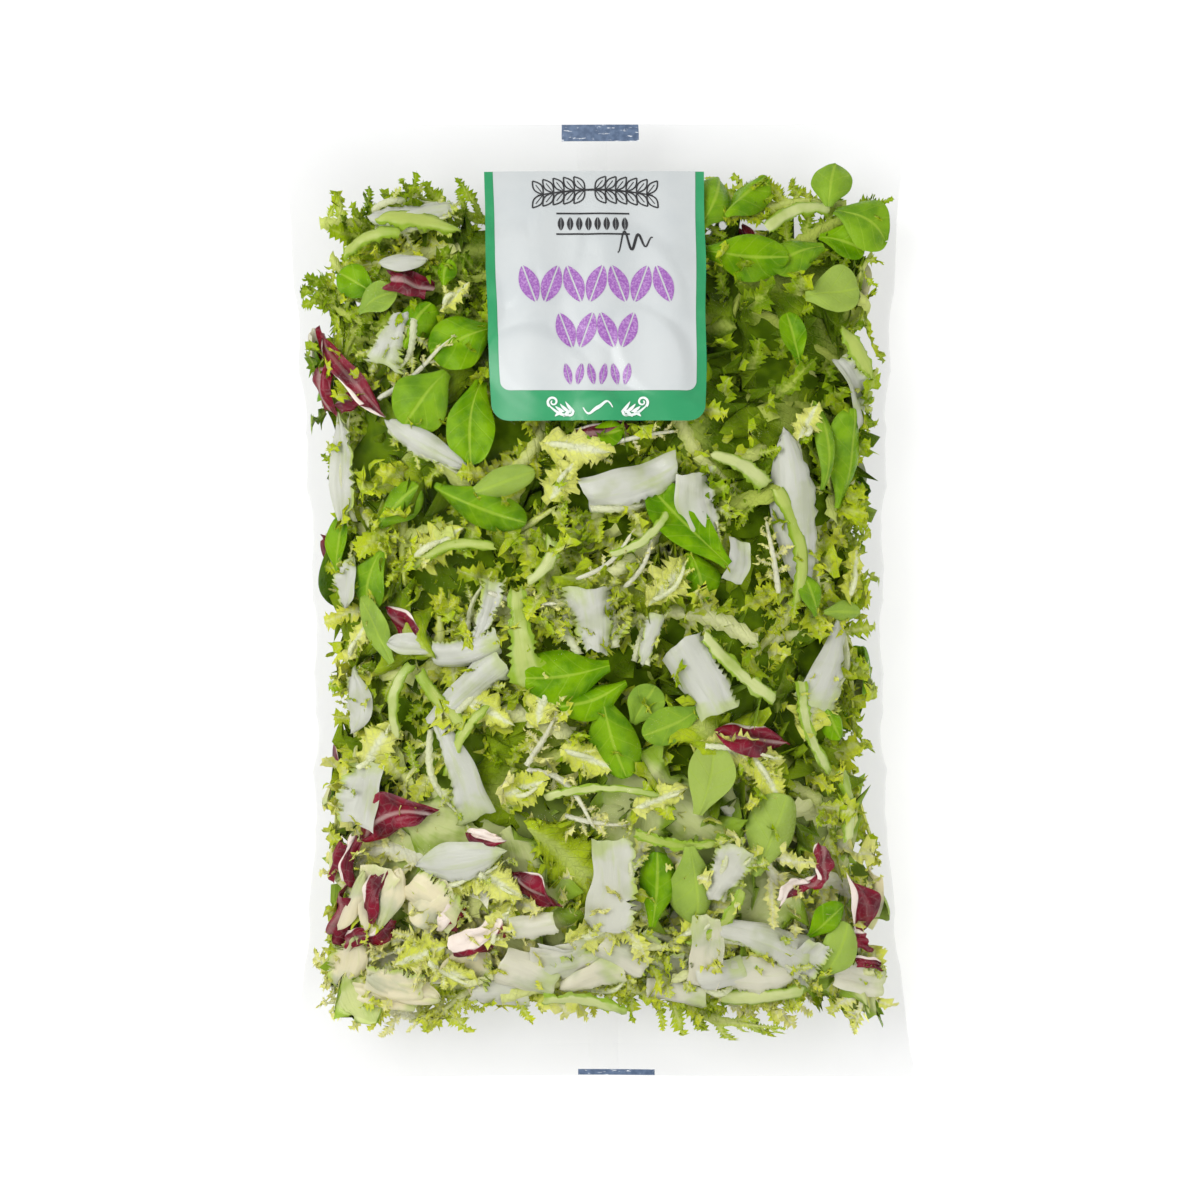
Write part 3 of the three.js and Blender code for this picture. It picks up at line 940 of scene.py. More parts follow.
# White ribs: at the end, how far the frills of the left and right sides wave in millimetres, and the form
whiteRibs = {
    "back": 26,
    "covered": {"below": 936, "leftOf": 690, "deeper": 1.6},  # pixels where curly leaves lie over them
    "cream": {"below": 860, "leftOf": 480},  # pixels where they are warmer
    "curlyFrom": 0.7,  # a frill above this has curly leaves under it
    "shown": [
        ((632, 483), 38.4, 15.2, 18, 0.8, 0, 0.9, "slab"), ((703, 500), 24, 16.8, 280, 1.8, 1.6, 0, "slab"),
        ((799, 512), 65.6, 21.6, 278, 0.8, 1.8, 0, "blade"),
        ((838, 664), 36.8, 20, 245, 1.6, 1.6, 0, "wedge"),
        ((704, 678), 30.4, 19.2, 300, 0.8, 0.6, 0, "slab"),
        ((592, 620), 25.6, 26.4, 100, 1.6, 1.2, 1.2, "wedge"),
        ((482, 612), 26.4, 10.4, 70, 1.2, 1, 1, "wedge"), ((522, 598), 26.4, 4.8, 350, 0.8, 0, 0, "stalk"),
        ((408, 646), 19.2, 8.4, 350, 0.8, 0, 0, "oval"), ((463, 650), 27.2, 12, 12, 0.8, 0.6, 0, "slab"),
        ((464, 694), 37.6, 16.8, 40, 1, 0, 1.4, "wedge"), ((347, 700), 25.6, 15.2, 80, 2, 1.2, 0, "blade"),
        ((331, 468), 44.8, 12, 92, 1.4, 0, 1.6, "blade"),
        ((338, 582), 21.6, 12.8, 70, 2.4, 1.2, 0, "blade"), ((390, 338), 23.2, 18.4, 250, 1, 2, 1, "wedge"),
        ((411, 367), 38.4, 4.4, 38, 0.8, 0, 0, "stalk"), ((424, 444), 39.2, 11.2, 330, 1, 0, 1.2, "blade"),
        ((454, 774), 41.6, 16.8, 290, 1, 0, 1.6, "wedge"), ((356, 796), 25.6, 20, 80, 1, 1.2, 0, "slab"),
        ((459, 860), 35.2, 17.6, 10, 0.8, 0, 0.8, "blade"),
        ((428, 906), 24.8, 18.4, 320, 0.9, 0.8, 0, "slab"),
        ((341, 966), 23.2, 16.8, 70, 1.4, 0.8, 0, "oval"),
        ((392, 988), 24.8, 12.8, 350, 1.4, 0.8, 0, "slab"), ((380, 1006), 28, 8, 345, 2.4, 0, 0, "slab"),
        ((528, 983), 24, 15.2, 340, 0.9, 0, 0, "slab"), ((560, 962), 24, 12, 10, 2, 0, 0, "slab"),
        ((610, 888), 36.8, 19.2, 86, 0.8, 0, 0.8, "slab"), ((704, 956), 30.4, 13.6, 86, 0.9, 0, 0, "slab"),
        ((768, 950), 38.4, 20, 335, 0.8, 0, 1.2, "wedge"), ((764, 980), 24.8, 14.4, 0, 2, 0, 0.8, "slab"),
        ((864, 980), 22.4, 13.6, 350, 1.4, 1, 0, "slab"),
        ((728, 876), 22.4, 18.4, 60, 1.8, 2, 1.6, "wedge"),
        ((664, 972), 27.2, 21.6, 330, 1.8, 1.2, 0.8, "slab"),
        ((584, 976), 22.4, 16.8, 20, 2.6, 1.2, 0, "slab"), ((402, 260), 19.2, 7.2, 5, 1.2, 0, 0, "oval"),
        ((410, 206), 34.4, 13.6, 10, 1.6, 1.2, 1.2, "oval"),
        ((862, 386), 28.8, 16.8, 300, 1.6, 1.4, 0, "wedge"), ((738, 560), 16.8, 9.6, 80, 2.4, 0, 0, "slab"),
        ((560, 800), 34.4, 6, 320, 1, 0.8, 0.8, "stalk"), ((596, 822), 24, 5.2, 350, 1, 0.6, 0.6, "stalk"),
        ((540, 742), 22.4, 6.4, 60, 1, 1, 1, "stalk"), ((386, 900), 25.6, 9.6, 250, 1, 0, 0, "blade"),
        ((348, 902), 27.2, 8.8, 60, 1.4, 0, 0, "blade"), ((646, 434), 24.8, 3.6, 12, 1.2, 0, 0, "stalk"),
        ((640, 560), 24, 3.2, 62, 0.9, 0, 0, "stalk"), ((604, 556), 28, 3.2, 40, 1.2, 0, 0, "stalk"),
        ((780, 556), 29.6, 5.6, 100, 1.6, 0, 0, "stalk"), ((650, 640), 20, 8.8, 70, 1.6, 1.2, 1.2, "wedge"),
        ((403, 993), 31.2, 13.6, 338, 0.9, 0, 0, "oval"), ((372, 903), 26.4, 18.4, 70, 1.1, 0, 0, "wedge"),
        ((432, 908), 20, 18.4, 40, 1.3, 0, 0, "slab"), ((533, 930), 18.4, 10.4, 10, 1.2, 0, 0.6, "slab"),
        ((462, 978), 18.4, 20, 60, 1.6, 0, 0.8, "slab"), ((556, 962), 16.8, 10.4, 350, 1.2, 0, 0, "slab"),
        ((592, 988), 24.8, 16, 20, 1, 0, 0.8, "wedge"), ((622, 962), 20.8, 14.4, 330, 1.4, 0.8, 0, "slab"),
        ((500, 1004), 24, 12, 350, 1.8, 0, 0, "slab"), ((724, 986), 20, 13.6, 10, 1.8, 0, 0.8, "slab"),
        ((812, 968), 20, 12, 60, 1.8, 0, 0.6, "slab"), ((676, 1006), 24, 9.6, 350, 1.8, 0, 0, "slab"),
    ],
}

# Pale green ribs: at the end, the form
greenRibs = {
    "shown": [
        ((523, 634), 36.8, 17.6, 278, 0.8, "wedge"), ((790, 546), 46.4, 6.8, 282, 1.2, "slab"),
        ((716, 922), 30.4, 6, 48, 1, "slab"), ((600, 797), 44, 4, 2, 1, "slab"),
        ((742, 668), 36.8, 7.2, 318, 1.4, "slab"), ((818, 728), 38.4, 6, 290, 1.6, "slab"),
        ((640, 534), 26.4, 4.4, 36, 1, "slab"), ((452, 556), 33.6, 4.8, 12, 1.4, "slab"),
        ((466, 742), 32, 4.8, 60, 1.6, "slab"), ((742, 470), 24, 10.4, 330, 1.8, "wedge"),
        ((416, 222), 33.6, 9.6, 352, 1.2, "oval"), ((800, 214), 28, 6.4, 20, 1.8, "slab"),
        ((584, 1010), 33.6, 5.6, 350, 1.2, "slab"), ((764, 1000), 32, 6.4, 8, 1.4, "slab"),
        ((862, 352), 24, 10.4, 300, 1.6, "oval"), ((400, 700), 29.6, 5.2, 76, 1.8, "slab"),
        ((540, 560), 20, 8.8, 60, 1.8, "wedge"), ((676, 840), 32, 5.2, 350, 1.6, "slab"),
        ((850, 806), 28, 6.4, 96, 1.6, "slab"), ((440, 700), 28, 6, 130, 1.6, "slab"),
        ((370, 240), 24, 6.4, 20, 1.8, "slab"),
    ],
}

# Red leaves: at the end, how white, and the form
redLeaves = {
    "back": 12,
    "shown": [
        ((340, 372), 44, 10.4, 134, 0.7, 0.1, "blade"), ((318, 390), 20.8, 11.2, 80, 1.2, 0, "slab"),
        ((346, 398), 15.2, 10.4, 10, 2.4, 0, "slab"), ((406, 279), 16.8, 10.4, 350, 2.2, 0, "slab"),
        ((404, 632), 24, 12, 320, 2.2, 0.1, "blade"), ((389, 829), 36.8, 16.8, 18, 0.8, 0, "blade"),
        ((331, 916), 23.2, 12, 62, 1, 0.1, "slab"), ((368, 898), 20, 9.6, 72, 1.1, 0.2, "slab"),
        ((374, 936), 16, 8.8, 40, 1.6, 0.2, "slab"), ((346, 864), 19.2, 7.2, 80, 1.8, 0.3, "slab"),
        ((484, 838), 14.4, 8, 350, 0.7, 0.6, "blade"), ((529, 894), 22.4, 14.4, 330, 1.2, 0.05, "blade"),
        ((478, 944), 19.2, 12.8, 30, 1.2, 0.5, "slab"), ((452, 922), 13.6, 8.8, 60, 1.8, 0.5, "slab"),
        ((754, 738), 28.8, 13.6, 350, 1.2, 0.05, "blade"), ((827, 864), 12.8, 8, 90, 1.4, 0.1, "slab"),
        ((866, 908), 23.2, 15.2, 110, 1.2, 0.15, "blade"), ((862, 944), 11.2, 8, 0, 1.8, 0.2, "slab"),
        ((796, 896), 14.4, 8, 40, 2, 0.6, "slab"), ((604, 426), 21.6, 8, 10, 3, 0.1, "slab"),
        ((872, 966), 12, 4.8, 350, 1.2, 0.2, "slab"), ((330, 860), 16.8, 7.2, 60, 2.2, 0.2, "slab"),
        ((352, 942), 13.6, 7.2, 20, 2, 0.1, "slab"), ((820, 880), 10.4, 5.6, 40, 2, 0.1, "slab"),
    ],
}

# Yellow heart leaves
heartLeaves = {
    "back": 7,
    "shown": [
        ((576, 446), 26.4, 16.8, 350, 0.9), ((562, 480), 18.4, 16, 60, 1.4), ((430, 546), 24, 19.2, 30, 1),
        ((818, 706), 24, 20, 70, 0.8), ((742, 752), 35.2, 16, 350, 1), ((772, 780), 22.4, 13.6, 300, 1.2),
        ((860, 576), 20.8, 14.4, 80, 1), ((454, 884), 20.8, 15.2, 20, 1.8),
        ((448, 976), 23.2, 16.8, 330, 1.2), ((670, 582), 22.4, 17.6, 50, 1.4), ((496, 886), 20, 16, 330, 1),
        ((452, 292), 14.4, 10.4, 40, 1.2), ((522, 790), 18.4, 13.6, 20, 1.8),
        ((586, 760), 20, 13.6, 340, 2), ((600, 942), 24.8, 16, 10, 1.6), ((500, 930), 18.4, 15.2, 60, 2),
        ((540, 700), 20.8, 16, 80, 1.6), ((812, 420), 15.2, 12, 60, 1.8),
        ((480, 708), 24.8, 15.2, 330, 2.2), ((370, 748), 25.6, 17.6, 50, 1.6),
        ((420, 960), 20.8, 16, 20, 1.8), ((700, 930), 18.4, 12.8, 30, 2.2), ((660, 800), 20.8, 13.6, 20, 2),
        ((350, 640), 16.8, 11.2, 60, 2.2),
    ],
}

# The curly green leaves that fill the bag, in layers from the deepest up. A fringe below 0 is a broad leaf.
curlyFill = {
    "layers": [
        # a layer's shade grows darker with its depth: painted shade for the curly leaves lying deeper
        {"depth": 14, "count": 60, "side": "front", "shade": 0.8, "fringe": -1},
        {"depth": 10, "count": 46, "side": "front", "shade": 0.7, "fringe": -1},
        {"depth": 6.5, "count": 52, "side": "front", "shade": 0.6, "fringe": 0},
        {"depth": 2.8, "count": 73, "side": "front", "shade": 0.4, "fringe": 1},
        {"depth": 10, "count": 50, "side": "back", "shade": 0.7, "fringe": -1},
        {"depth": 3.6, "count": 18, "side": "back", "shade": 0.4, "fringe": 0},
    ],
    "middle": {"front": 0, "back": halfTube},
    "reach": {"front": 128, "back": 122},
    "length": (50, 86),
    "width": (38, 60),
    "unevenDepth": (0.7, 1.25),
    "unevenShade": 0.3,
    "lobes": 14,
    "curl": (0.8, 1.9),
    "roll": 30,
    "pitch": 14,
    "broadShare": 0.05,
    # how green a leaf is, from 0 to 1, and the kinds of leaf from pale to dark, with the limits between
    "unevenTone": 0.26,
    "kinds": ["Pale", "Light", "Lime", "Green", "Dark"],
    "limits": [0.14, 0.38, 0.54, 0.72],
    "paleLimit": 0.26,
    "topDepth": 5,  # a layer above this leaves room for what the photograph shows on top
    # the skirt of leaves along both ends of the heap
    "ends": {
        "from": -107,
        "to": 109,
        "pitch": 15.5,
        "length": (34, 56),
        "width": (24, 38),
        "depth": (1.2, 5),
        "inset": (0.15, 0.65),
        "topInset": 0.2,
        "turn": 28,
        "shade": (0.2, 0.7),
        "greener": (0.0, 0.6),
        "fringe": {"front": 1, "back": 0},
    },
    # where the heap stops under each seal, by the place across the bag
    "across": [-117, -106, -87, -63, -46, 0, 38, 49, 69, 81, 95, 109, 118],
    "top": [126, 141, 152, 154, 150, 150, 162, 177, 178, 175, 177, 164, 146],
    "bottom": [-162, -166, -170, -168, -172, -166, -162, -167, -173, -168, -171, -168, -163],
}

# Each piece of leaves: its slot, the kind of its material, and the material's colours as seen on a screen
leafPieces = {
    "curlyEndiveDark": ("curly_endive", curlyMaterial, (206, 220, 104), (176, 202, 22), (114, 154, 6)),
    "curlyEndiveGreen": ("curly_endive", curlyMaterial, (224, 233, 136), (215, 228, 42), (158, 192, 11)),
    "curlyEndiveLime": ("curly_endive", curlyMaterial, (232, 237, 158), (226, 233, 58), (177, 206, 18)),
    "curlyEndiveLight": ("curly_endive", curlyMaterial, (240, 242, 186), (235, 238, 92), (200, 218, 36)),
    "curlyEndivePale": ("pale_endive", curlyMaterial, (244, 243, 222), (247, 245, 162), (230, 235, 100)),
    "broadEndive": ("curly_endive", curlyMaterial, (212, 226, 120), (194, 214, 40), (120, 158, 8)),
    # a darker copy of broadEndive for the broad leaves deep in the heap: painted shade
    "shadedDeepEndive": ("curly_endive", curlyMaterial, (184, 202, 90), (150, 178, 24), (92, 124, 6)),
    "endiveHearts": ("pale_endive", curlyMaterial, (246, 248, 216), (243, 245, 140), (230, 236, 92)),
    "lambsLettuce": ("lambs_lettuce", spoonMaterial, (128, 174, 6), (86, 138, 3), (182, 208, 74),
                     (176, 196, 96)),
    "greenRibs": ("curly_endive", ribMaterial, (224, 231, 162), (202, 217, 112), (178, 201, 82),
                  (162, 195, 52)),
    "ribFrills": ("curly_endive", curlyMaterial, (238, 240, 206), (228, 234, 112), (184, 210, 46)),
    "whiteRibs": ("white_rib", ribMaterial, (223, 224, 213), (248, 240, 206), (206, 211, 180),
                  (198, 216, 104)),
    "redLeaves": ("radicchio", redMaterial, (138, 12, 42), (82, 8, 26), (242, 228, 216)),
}
heaps = {name: newHeap() for name in leafPieces}
golden = (0.7548776662, 0.5698402910)  # steps that spread places evenly over two directions


def heapEnds(s):
    # the lowest and the highest y of the heap at s, on straight lines between the places given
    across = curlyFill["across"]
    return float(np.interp(s, across, curlyFill["bottom"])), float(np.interp(s, across, curlyFill["top"]))


def greenness(s, y):
    # 0 where the heap is palest, towards the foot, and 1 where it is darkest, at the upper right
    rising = 0.27 * softStep(10, 130, y) + 0.08 * softStep(10, 110, s) * softStep(-10, 70, y)
    return float(np.clip(0.46 + rising - 0.56 * softStep(50, 140, -y), 0, 1))


def fillLeaf(place, length, width, shade, fringe, greener=0.0):
    # one curly leaf, in one of five kinds from dark to pale by where it lies, or a broad leaf
    tone = greenness(place["s"], place["y"]) + plusMinus(curlyFill["unevenTone"]) + greener
    kind = curlyFill["kinds"][int(np.searchsorted(curlyFill["limits"], tone))]
    toneShade = float(np.clip(1.5 * tone - 0.35, 0, 1))
    roll = plusMinus(curlyFill["roll"])
    pitch = plusMinus(curlyFill["pitch"])
    if fringe < 0:
        frill = (rng.uniform(3, 6), rng.uniform(3, 6))
        # a deep broad leaf that is not pale takes the darker copy: painted shade
        heap = heaps["greenRibs" if tone < curlyFill["paleLimit"] else "shadedDeepEndive"]
        addBroad(heap, place, length * 1.1, width * 1.3, "oval", toneShade, 0.5, "edge", roll, pitch,
                 frill=frill, teeth=0.6, cup=plusMinus(0.4), bend=plusMinus(0.15), rows=24,
                 columns=7, lobed=0.6)
    elif rng.random() < curlyFill["broadShare"]:
        frill = (rng.uniform(2.5, 5), rng.uniform(2.5, 5))
        addBroad(heaps["broadEndive"], place, length, width * 0.8, "oval", toneShade, 0.5, "edge", roll,
                 pitch, frill=frill, teeth=0.5, cup=plusMinus(0.5), bend=plusMinus(0.2), rows=58,
                 columns=9, lobed=rng.uniform(0.6, 0.85), ragged=0.12, sway=plusMinus(0.12),
                 crumple=0.06)
    else:
        addCurly(heaps["curlyEndive" + kind], place, length, width, shade, curlyFill["lobes"],
                 rng.uniform(*curlyFill["curl"]), fringe, roll, pitch)


def underCurls(px, py):
    # at the foot, curly leaves lie over the white pieces
    return py > whiteRibs["covered"]["below"] and px < whiteRibs["covered"]["leftOf"]


def topPlaces():
    # what the photograph shows on top of the curly leaves: s, y and the radius that it keeps free
    shown = [item for item in whiteRibs["shown"] if not underCurls(*item[0])]
    shown = spoonLeaves["shown"] + shown + redLeaves["shown"]
    return np.array([fromPixel(*item[0]) + (0.32 * min(item[1], item[2] * 1.6),) for item in shown])


def fillLayer(layer, taken):
    # places that step evenly over the layer, kept inside the heap's ends by a share of the leaf's size
    placed = 0
    attempt = 0
    while placed < layer["count"]:
        attempt += 1
        shareS = (0.5 + golden[0] * attempt) % 1
        shareY = (0.5 + golden[1] * attempt) % 1
        s = (shareS - 0.5) * 2 * curlyFill["reach"][layer["side"]] + curlyFill["middle"][layer["side"]]
        length = rng.uniform(*curlyFill["length"])
        width = rng.uniform(*curlyFill["width"])
        turn = rng.uniform(0, 360)
        low, high = heapEnds(s)
        spare = 0.28 * length * abs(math.sin(math.radians(turn))) + 0.16 * width
        y = low + spare + shareY * (high - low - 2 * spare)
        if layer["depth"] < curlyFill["topDepth"] and layer["side"] == "front":
            hidden = np.any(np.hypot(taken[:, 0] - s, taken[:, 1] - y) < taken[:, 2])
            if hidden and attempt < 4 * layer["count"]:
                continue
        shade = float(np.clip(layer["shade"] + plusMinus(curlyFill["unevenShade"]), 0, 1))
        place = placeAt(s, y, turn, layer["depth"] * rng.uniform(*curlyFill["unevenDepth"]))
        fillLeaf(place, length, width, shade, layer["fringe"])
        placed += 1


def fillEnds():
    # a row of smaller leaves along each end, front and back, that hang over it by uneven amounts
    ends = curlyFill["ends"]
    for s in np.arange(ends["from"], ends["to"], ends["pitch"]):
        s = float(s)
        for side, fringe in ends["fringe"].items():
            for end in (1, -1):
                length = rng.uniform(*ends["length"])
                width = rng.uniform(*ends["width"])
                edge = heapEnds(s)[1 if end > 0 else 0]
                y = edge - end * width * (rng.uniform(*ends["inset"]) + ends["topInset"] * (end > 0))
                turn = rng.choice([0, 180]) + plusMinus(ends["turn"])
                place = placeAt(s + curlyFill["middle"][side], y, turn, rng.uniform(*ends["depth"]))
                greener = rng.uniform(*ends["greener"]) if end < 0 else 0.0
                fillLeaf(place, length, width, rng.uniform(*ends["shade"]), fringe, greener)


taken = topPlaces()
for layer in curlyFill["layers"]:
    fillLayer(layer, taken)
fillEnds()


def shownPlace(middle, turn, depth):
    # the place under a pixel of the photograph
    s, y = fromPixel(*middle)
    return placeAt(s, y, turn, depth)


backSpread = {"s": 236, "y": (-148, 144), "depth": (0.8, 2.4)}


def backPlaces(count):
    # places spread over the underside, where the photograph shows nothing
    low, high = backSpread["y"]
    for i in range(count):
        s = halfTube + ((0.2 + golden[0] * (i + 1)) % 1 - 0.5) * backSpread["s"]
        y = low + ((0.7 + golden[1] * (i + 1)) % 1) * (high - low)
        yield placeAt(s, y, rng.uniform(0, 360), rng.uniform(*backSpread["depth"]))


def addSpoon(place, length, width, pale):
    # a smooth leaf, cupped, bent back and folded a little along its midrib
    addBroad(heaps["lambsLettuce"], place, length, width, "spoon", pale, 0.6, "edge",
             plusMinus(16), plusMinus(8), cup=rng.uniform(-0.7, 0.3), bend=rng.uniform(-0.5, 0.1),
             vee=rng.choice([-1, 1]) * rng.uniform(0.0, 0.35), rows=22, columns=11, crumple=0.03,
             sway=plusMinus(0.08))


def addWhite(place, length, width, left, right, form, warm):
    # a fluted piece of rib, with small curly leaves under each edge that has a frill
    if form == "stalk":  # a ferny pale piece with short lobes
        addCurly(heaps["curlyEndivePale"], place, length, width * 2.6, 0.2, 10, 1.6, 3, plusMinus(10))
        return
    roll = plusMinus(18)
    turn = math.radians(place["turn"])
    for side, frill in ((-1, left), (1, right)):
        if frill > whiteRibs["curlyFrom"]:
            aside = side * 0.28 * width
            moved = {**place, "s": place["s"] + aside * math.sin(turn), "depth": place["depth"] + 0.9,
                     "y": place["y"] - aside * math.cos(turn)}
            addCurly(heaps["ribFrills"], moved, length * 0.94, 12 + 0.5 * width, 0.3, 7, 1.0, 0)
    addBroad(heaps["whiteRibs"], place, length, width, form, warm, 1.0, "frill", roll, plusMinus(7),
             frill=(left, right), teeth=0.5, cup=rng.uniform(-0.9, 0.5), bend=rng.uniform(-0.3, 0.15),
             ragged=0.07, rows=28, columns=9, flutes=rng.uniform(0.3, 1.0), crumple=0.03,
             sway=plusMinus(0.08))


def addGreenRib(place, length, width, form):
    # a thick narrow rib with small teeth on both edges
    addBroad(heaps["greenRibs"], place, length, width, form, rng.random(), 1.4, "edge",
             plusMinus(12), plusMinus(6), frill=(0.8, 0.8), teeth=0.4, cup=rng.uniform(-0.7, 0.2),
             bend=rng.uniform(-0.2, 0.1), rows=30, columns=7, lobed=0.3, ragged=0.12,
             sway=plusMinus(0.14))


def addRed(place, length, width, white, form):
    # a torn and crumpled leaf, part of its width white where it has a rib
    addBroad(heaps["redLeaves"], place, length, width, form, white, 0.6, "half" if white > 0 else "none",
             plusMinus(26), plusMinus(10), cup=rng.uniform(-0.8, 0.3), bend=rng.uniform(-0.3, 0.15),
             ragged=0.2, rows=22, columns=11, flutes=rng.uniform(0.4, 1.4), crumple=0.09,
             vee=plusMinus(0.5), sway=plusMinus(0.14))


def addHeart(place, length, width):
    # a toothed and waved yellow leaf, with a small curly one over its middle
    under = {**place, "depth": place["depth"] + 0.8}
    addBroad(heaps["endiveHearts"], under, length * 1.05, width * 1.1, "oval", rng.random(), 0.5, "edge",
             plusMinus(16), plusMinus(8), frill=(rng.uniform(1.2, 2.6), rng.uniform(1.2, 2.6)),
             teeth=0.5, cup=plusMinus(0.4), rows=30, columns=7, lobed=rng.uniform(0.2, 0.5), ragged=0.1)
    addCurly(heaps["endiveHearts"], place, length * 0.8, width, rng.random(), 6, 1.2, 0, plusMinus(14))


for middle, length, width, turn, depth, pale in spoonLeaves["shown"]:
    addSpoon(shownPlace(middle, turn, depth), length, width, pale)
for place in backPlaces(spoonLeaves["back"]):
    addSpoon(place, rng.uniform(24, 40), rng.uniform(16, 24), rng.choice([0.0, 0.1, 0.9]))
for middle, length, width, turn, depth, left, right, form in whiteRibs["shown"]:
    atFoot = middle[1] > whiteRibs["cream"]["below"]
    warm = rng.uniform(0, 0.3) + 0.3 * atFoot + 0.4 * (atFoot and middle[0] < whiteRibs["cream"]["leftOf"])
    depth = depth + whiteRibs["covered"]["deeper"] * underCurls(*middle)
    addWhite(shownPlace(middle, turn, depth), length, width, left, right, form, warm)
for place in backPlaces(whiteRibs["back"]):
    length, width = rng.uniform(24, 42), rng.uniform(10, 20)
    left = rng.choice([0, 0.6])
    addWhite(place, length, width, left, 0.0, rng.choice(["slab", "wedge", "blade"]), rng.random())
for middle, length, width, turn, depth, form in greenRibs["shown"]:
    addGreenRib(shownPlace(middle, turn, depth), length, width, form)
for middle, length, width, turn, depth, white, form in redLeaves["shown"]:
    addRed(shownPlace(middle, turn, depth), length, width, white, form)
for place in backPlaces(redLeaves["back"]):
    length, width, white = rng.uniform(16, 36), rng.uniform(10, 16), rng.uniform(0, 0.4)
    addRed(place, length, width, white, rng.choice(["slab", "blade"]))
for middle, length, width, turn, depth in heartLeaves["shown"]:
    addHeart(shownPlace(middle, turn, depth), length, width)
for place in backPlaces(heartLeaves["back"]):
    length, width = rng.uniform(20, 34), rng.uniform(14, 22)
    addCurly(heaps["endiveHearts"], place, length, width, rng.random(), 6, 1.5, 0)

for name, (slotName, makeMaterial, *colours) in leafPieces.items():
    heapMesh(name, heaps[name], makeMaterial(name, *(linear(*colour) for colour in colours)), slotName)

coreForm = {
    "columns": 110,
    "rows": 90,
    "halfLength": 134,
    "closesAt": 136,
    "width": 0.84,  # as a share of the film's
    "height": 0.6,
    "lumps": 0.05,
    # painted shade for the depths of the heap: two dim greens, and a paler colour towards the foot
    "dark": ((64, 88, 4), (96, 122, 8)),
    "foot": (214, 218, 150),
    "footShare": 0.85,
    "footFade": (-0.15, -0.06),  # in metres along the bag
}


def shadedMaterial(name):
    # painted shade: dim greens in spots for the shade deep in the heap, paler towards the foot
    material, tree = newMaterial(name)
    where = onObject(tree)
    spots = rangeOf(noiseOf(where, 130, 4), 0.35, 0.7)
    foot = rangeOf(splitUp(where)[1], *coreForm["footFade"], coreForm["footShare"], 0.0)
    colour = mixColour(spots, *(linear(*dark) for dark in coreForm["dark"]))
    finishSurface(tree, mixColour(foot, colour, linear(*coreForm["foot"])), 0.6, shine=0.02)
    return material


def makeCore():
    # a closed lump in the middle: the film's own cross-sections drawn in to a share of their width and
    # height, which falls as an arc towards the ends. It keeps light from falling through the heap.
    # its dim colour is painted shade for the depths of the heap
    columns, rows = coreForm["columns"], coreForm["rows"]
    s = np.linspace(-halfTube, halfTube, columns, endpoint=False)[None, :] + np.zeros((rows, 1))
    y = coreForm["halfLength"] * np.sin(np.linspace(-np.pi / 2, np.pi / 2, rows))[:, None] + 0 * s
    share = np.sqrt(np.clip(1 - (np.abs(y) / coreForm["closesAt"]) ** 5, 0.0, 1))
    lumps = 1 + coreForm["lumps"] * np.sin(s / 8 + 2 * np.sin(y / 13)) * np.cos(y / 7 + np.sin(s / 15))
    edge = lookUp(filmRows, s, y)
    half = columns // 2
    middle = np.stack([0 * y, y, 0.5 * (edge[:, :1, 2] + edge[:, half : half + 1, 2]) + 0 * y], -1)
    share = share * lumps
    drawn = np.stack([coreForm["width"] * share, np.ones_like(y), coreForm["height"] * share], -1)
    points = (middle + (edge - middle) * drawn).reshape(-1, 3)
    grid, ring = ringGrid(rows, columns)
    centres = np.stack([points[grid[0]].mean(0), points[grid[-1]].mean(0)])
    first, last = len(points), len(points) + 1
    bottom = np.stack([np.full(columns, first), ring[0, 1:], ring[0, :-1]], -1)
    top = np.stack([np.full(columns, last), ring[-1, :-1], ring[-1, 1:]], -1)
    makeMesh("shadedHeart", np.concatenate([points, centres]), [gridQuads(ring), bottom, top],
             [shadedMaterial("shadedLeaves")], "curly_endive")


makeCore()
print("heap made")

# The clear film

filmForm = {
    "columns": 320,
    "rowStep": 1.7,
    "sealStep": 0.45,
    "crimp": 0.07,
    "crimpPitch": 1.8,
    "sealFold": 0.9,
    "fineFold": 0.7,
    "foldFrom": 12,
    "foldRun": 45,
    "cross": 0.8,
    "crossReach": 26,
    "slow": 0.35,
}


def ridge(a):
    # a sine's size, turned over and sharpened
    return (1 - np.abs(np.sin(a))) ** 2


def creases(s, y):
    # folds that run in from the seals and across the fold lines, each a sine sharpened to a ridge
    form = filmForm
    fromSeal = np.maximum(0, sealY - np.abs(y))
    nearSeal = (fromSeal / form["foldFrom"]) * np.exp(1 - fromSeal / form["foldFrom"])
    runIn = np.exp(-fromSeal / form["foldRun"])
    folds = form["sealFold"] * ridge(s / 7.3 + 1.3 * np.sin(s / 19) + np.sign(y))
    folds = folds + form["fineFold"] * ridge(s / 12.1 + y / 60)
    atFold = np.exp(-(((np.abs(np.abs(s) - foldLine)) / form["crossReach"]) ** 2))
    across = ridge(y / 10.5 + 1.1 * np.sin(y / 23 + s / 40)) + 0.6 * ridge(y / 6.1 + 2 * np.sin(y / 31))
    slow = np.sin(s / 17 + 1.7 * np.sin(y / 29)) * np.sin(y / 23 + 1.3 * np.sin(s / 37))
    full = form["cross"] * across * atFold + form["slow"] * (1 + slow)
    return folds * nearSeal * runIn + full * swelling(y)


def endCap(row, columns):
    # faces between the upper and the lower side of one end row, whose points mirror each other in the folds
    half = columns // 2
    k = np.arange(columns // 4, 3 * columns // 4)
    cap = np.stack([row[k], row[k + 1], row[(half - k - 1) % columns], row[(half - k) % columns]], -1)
    return cap


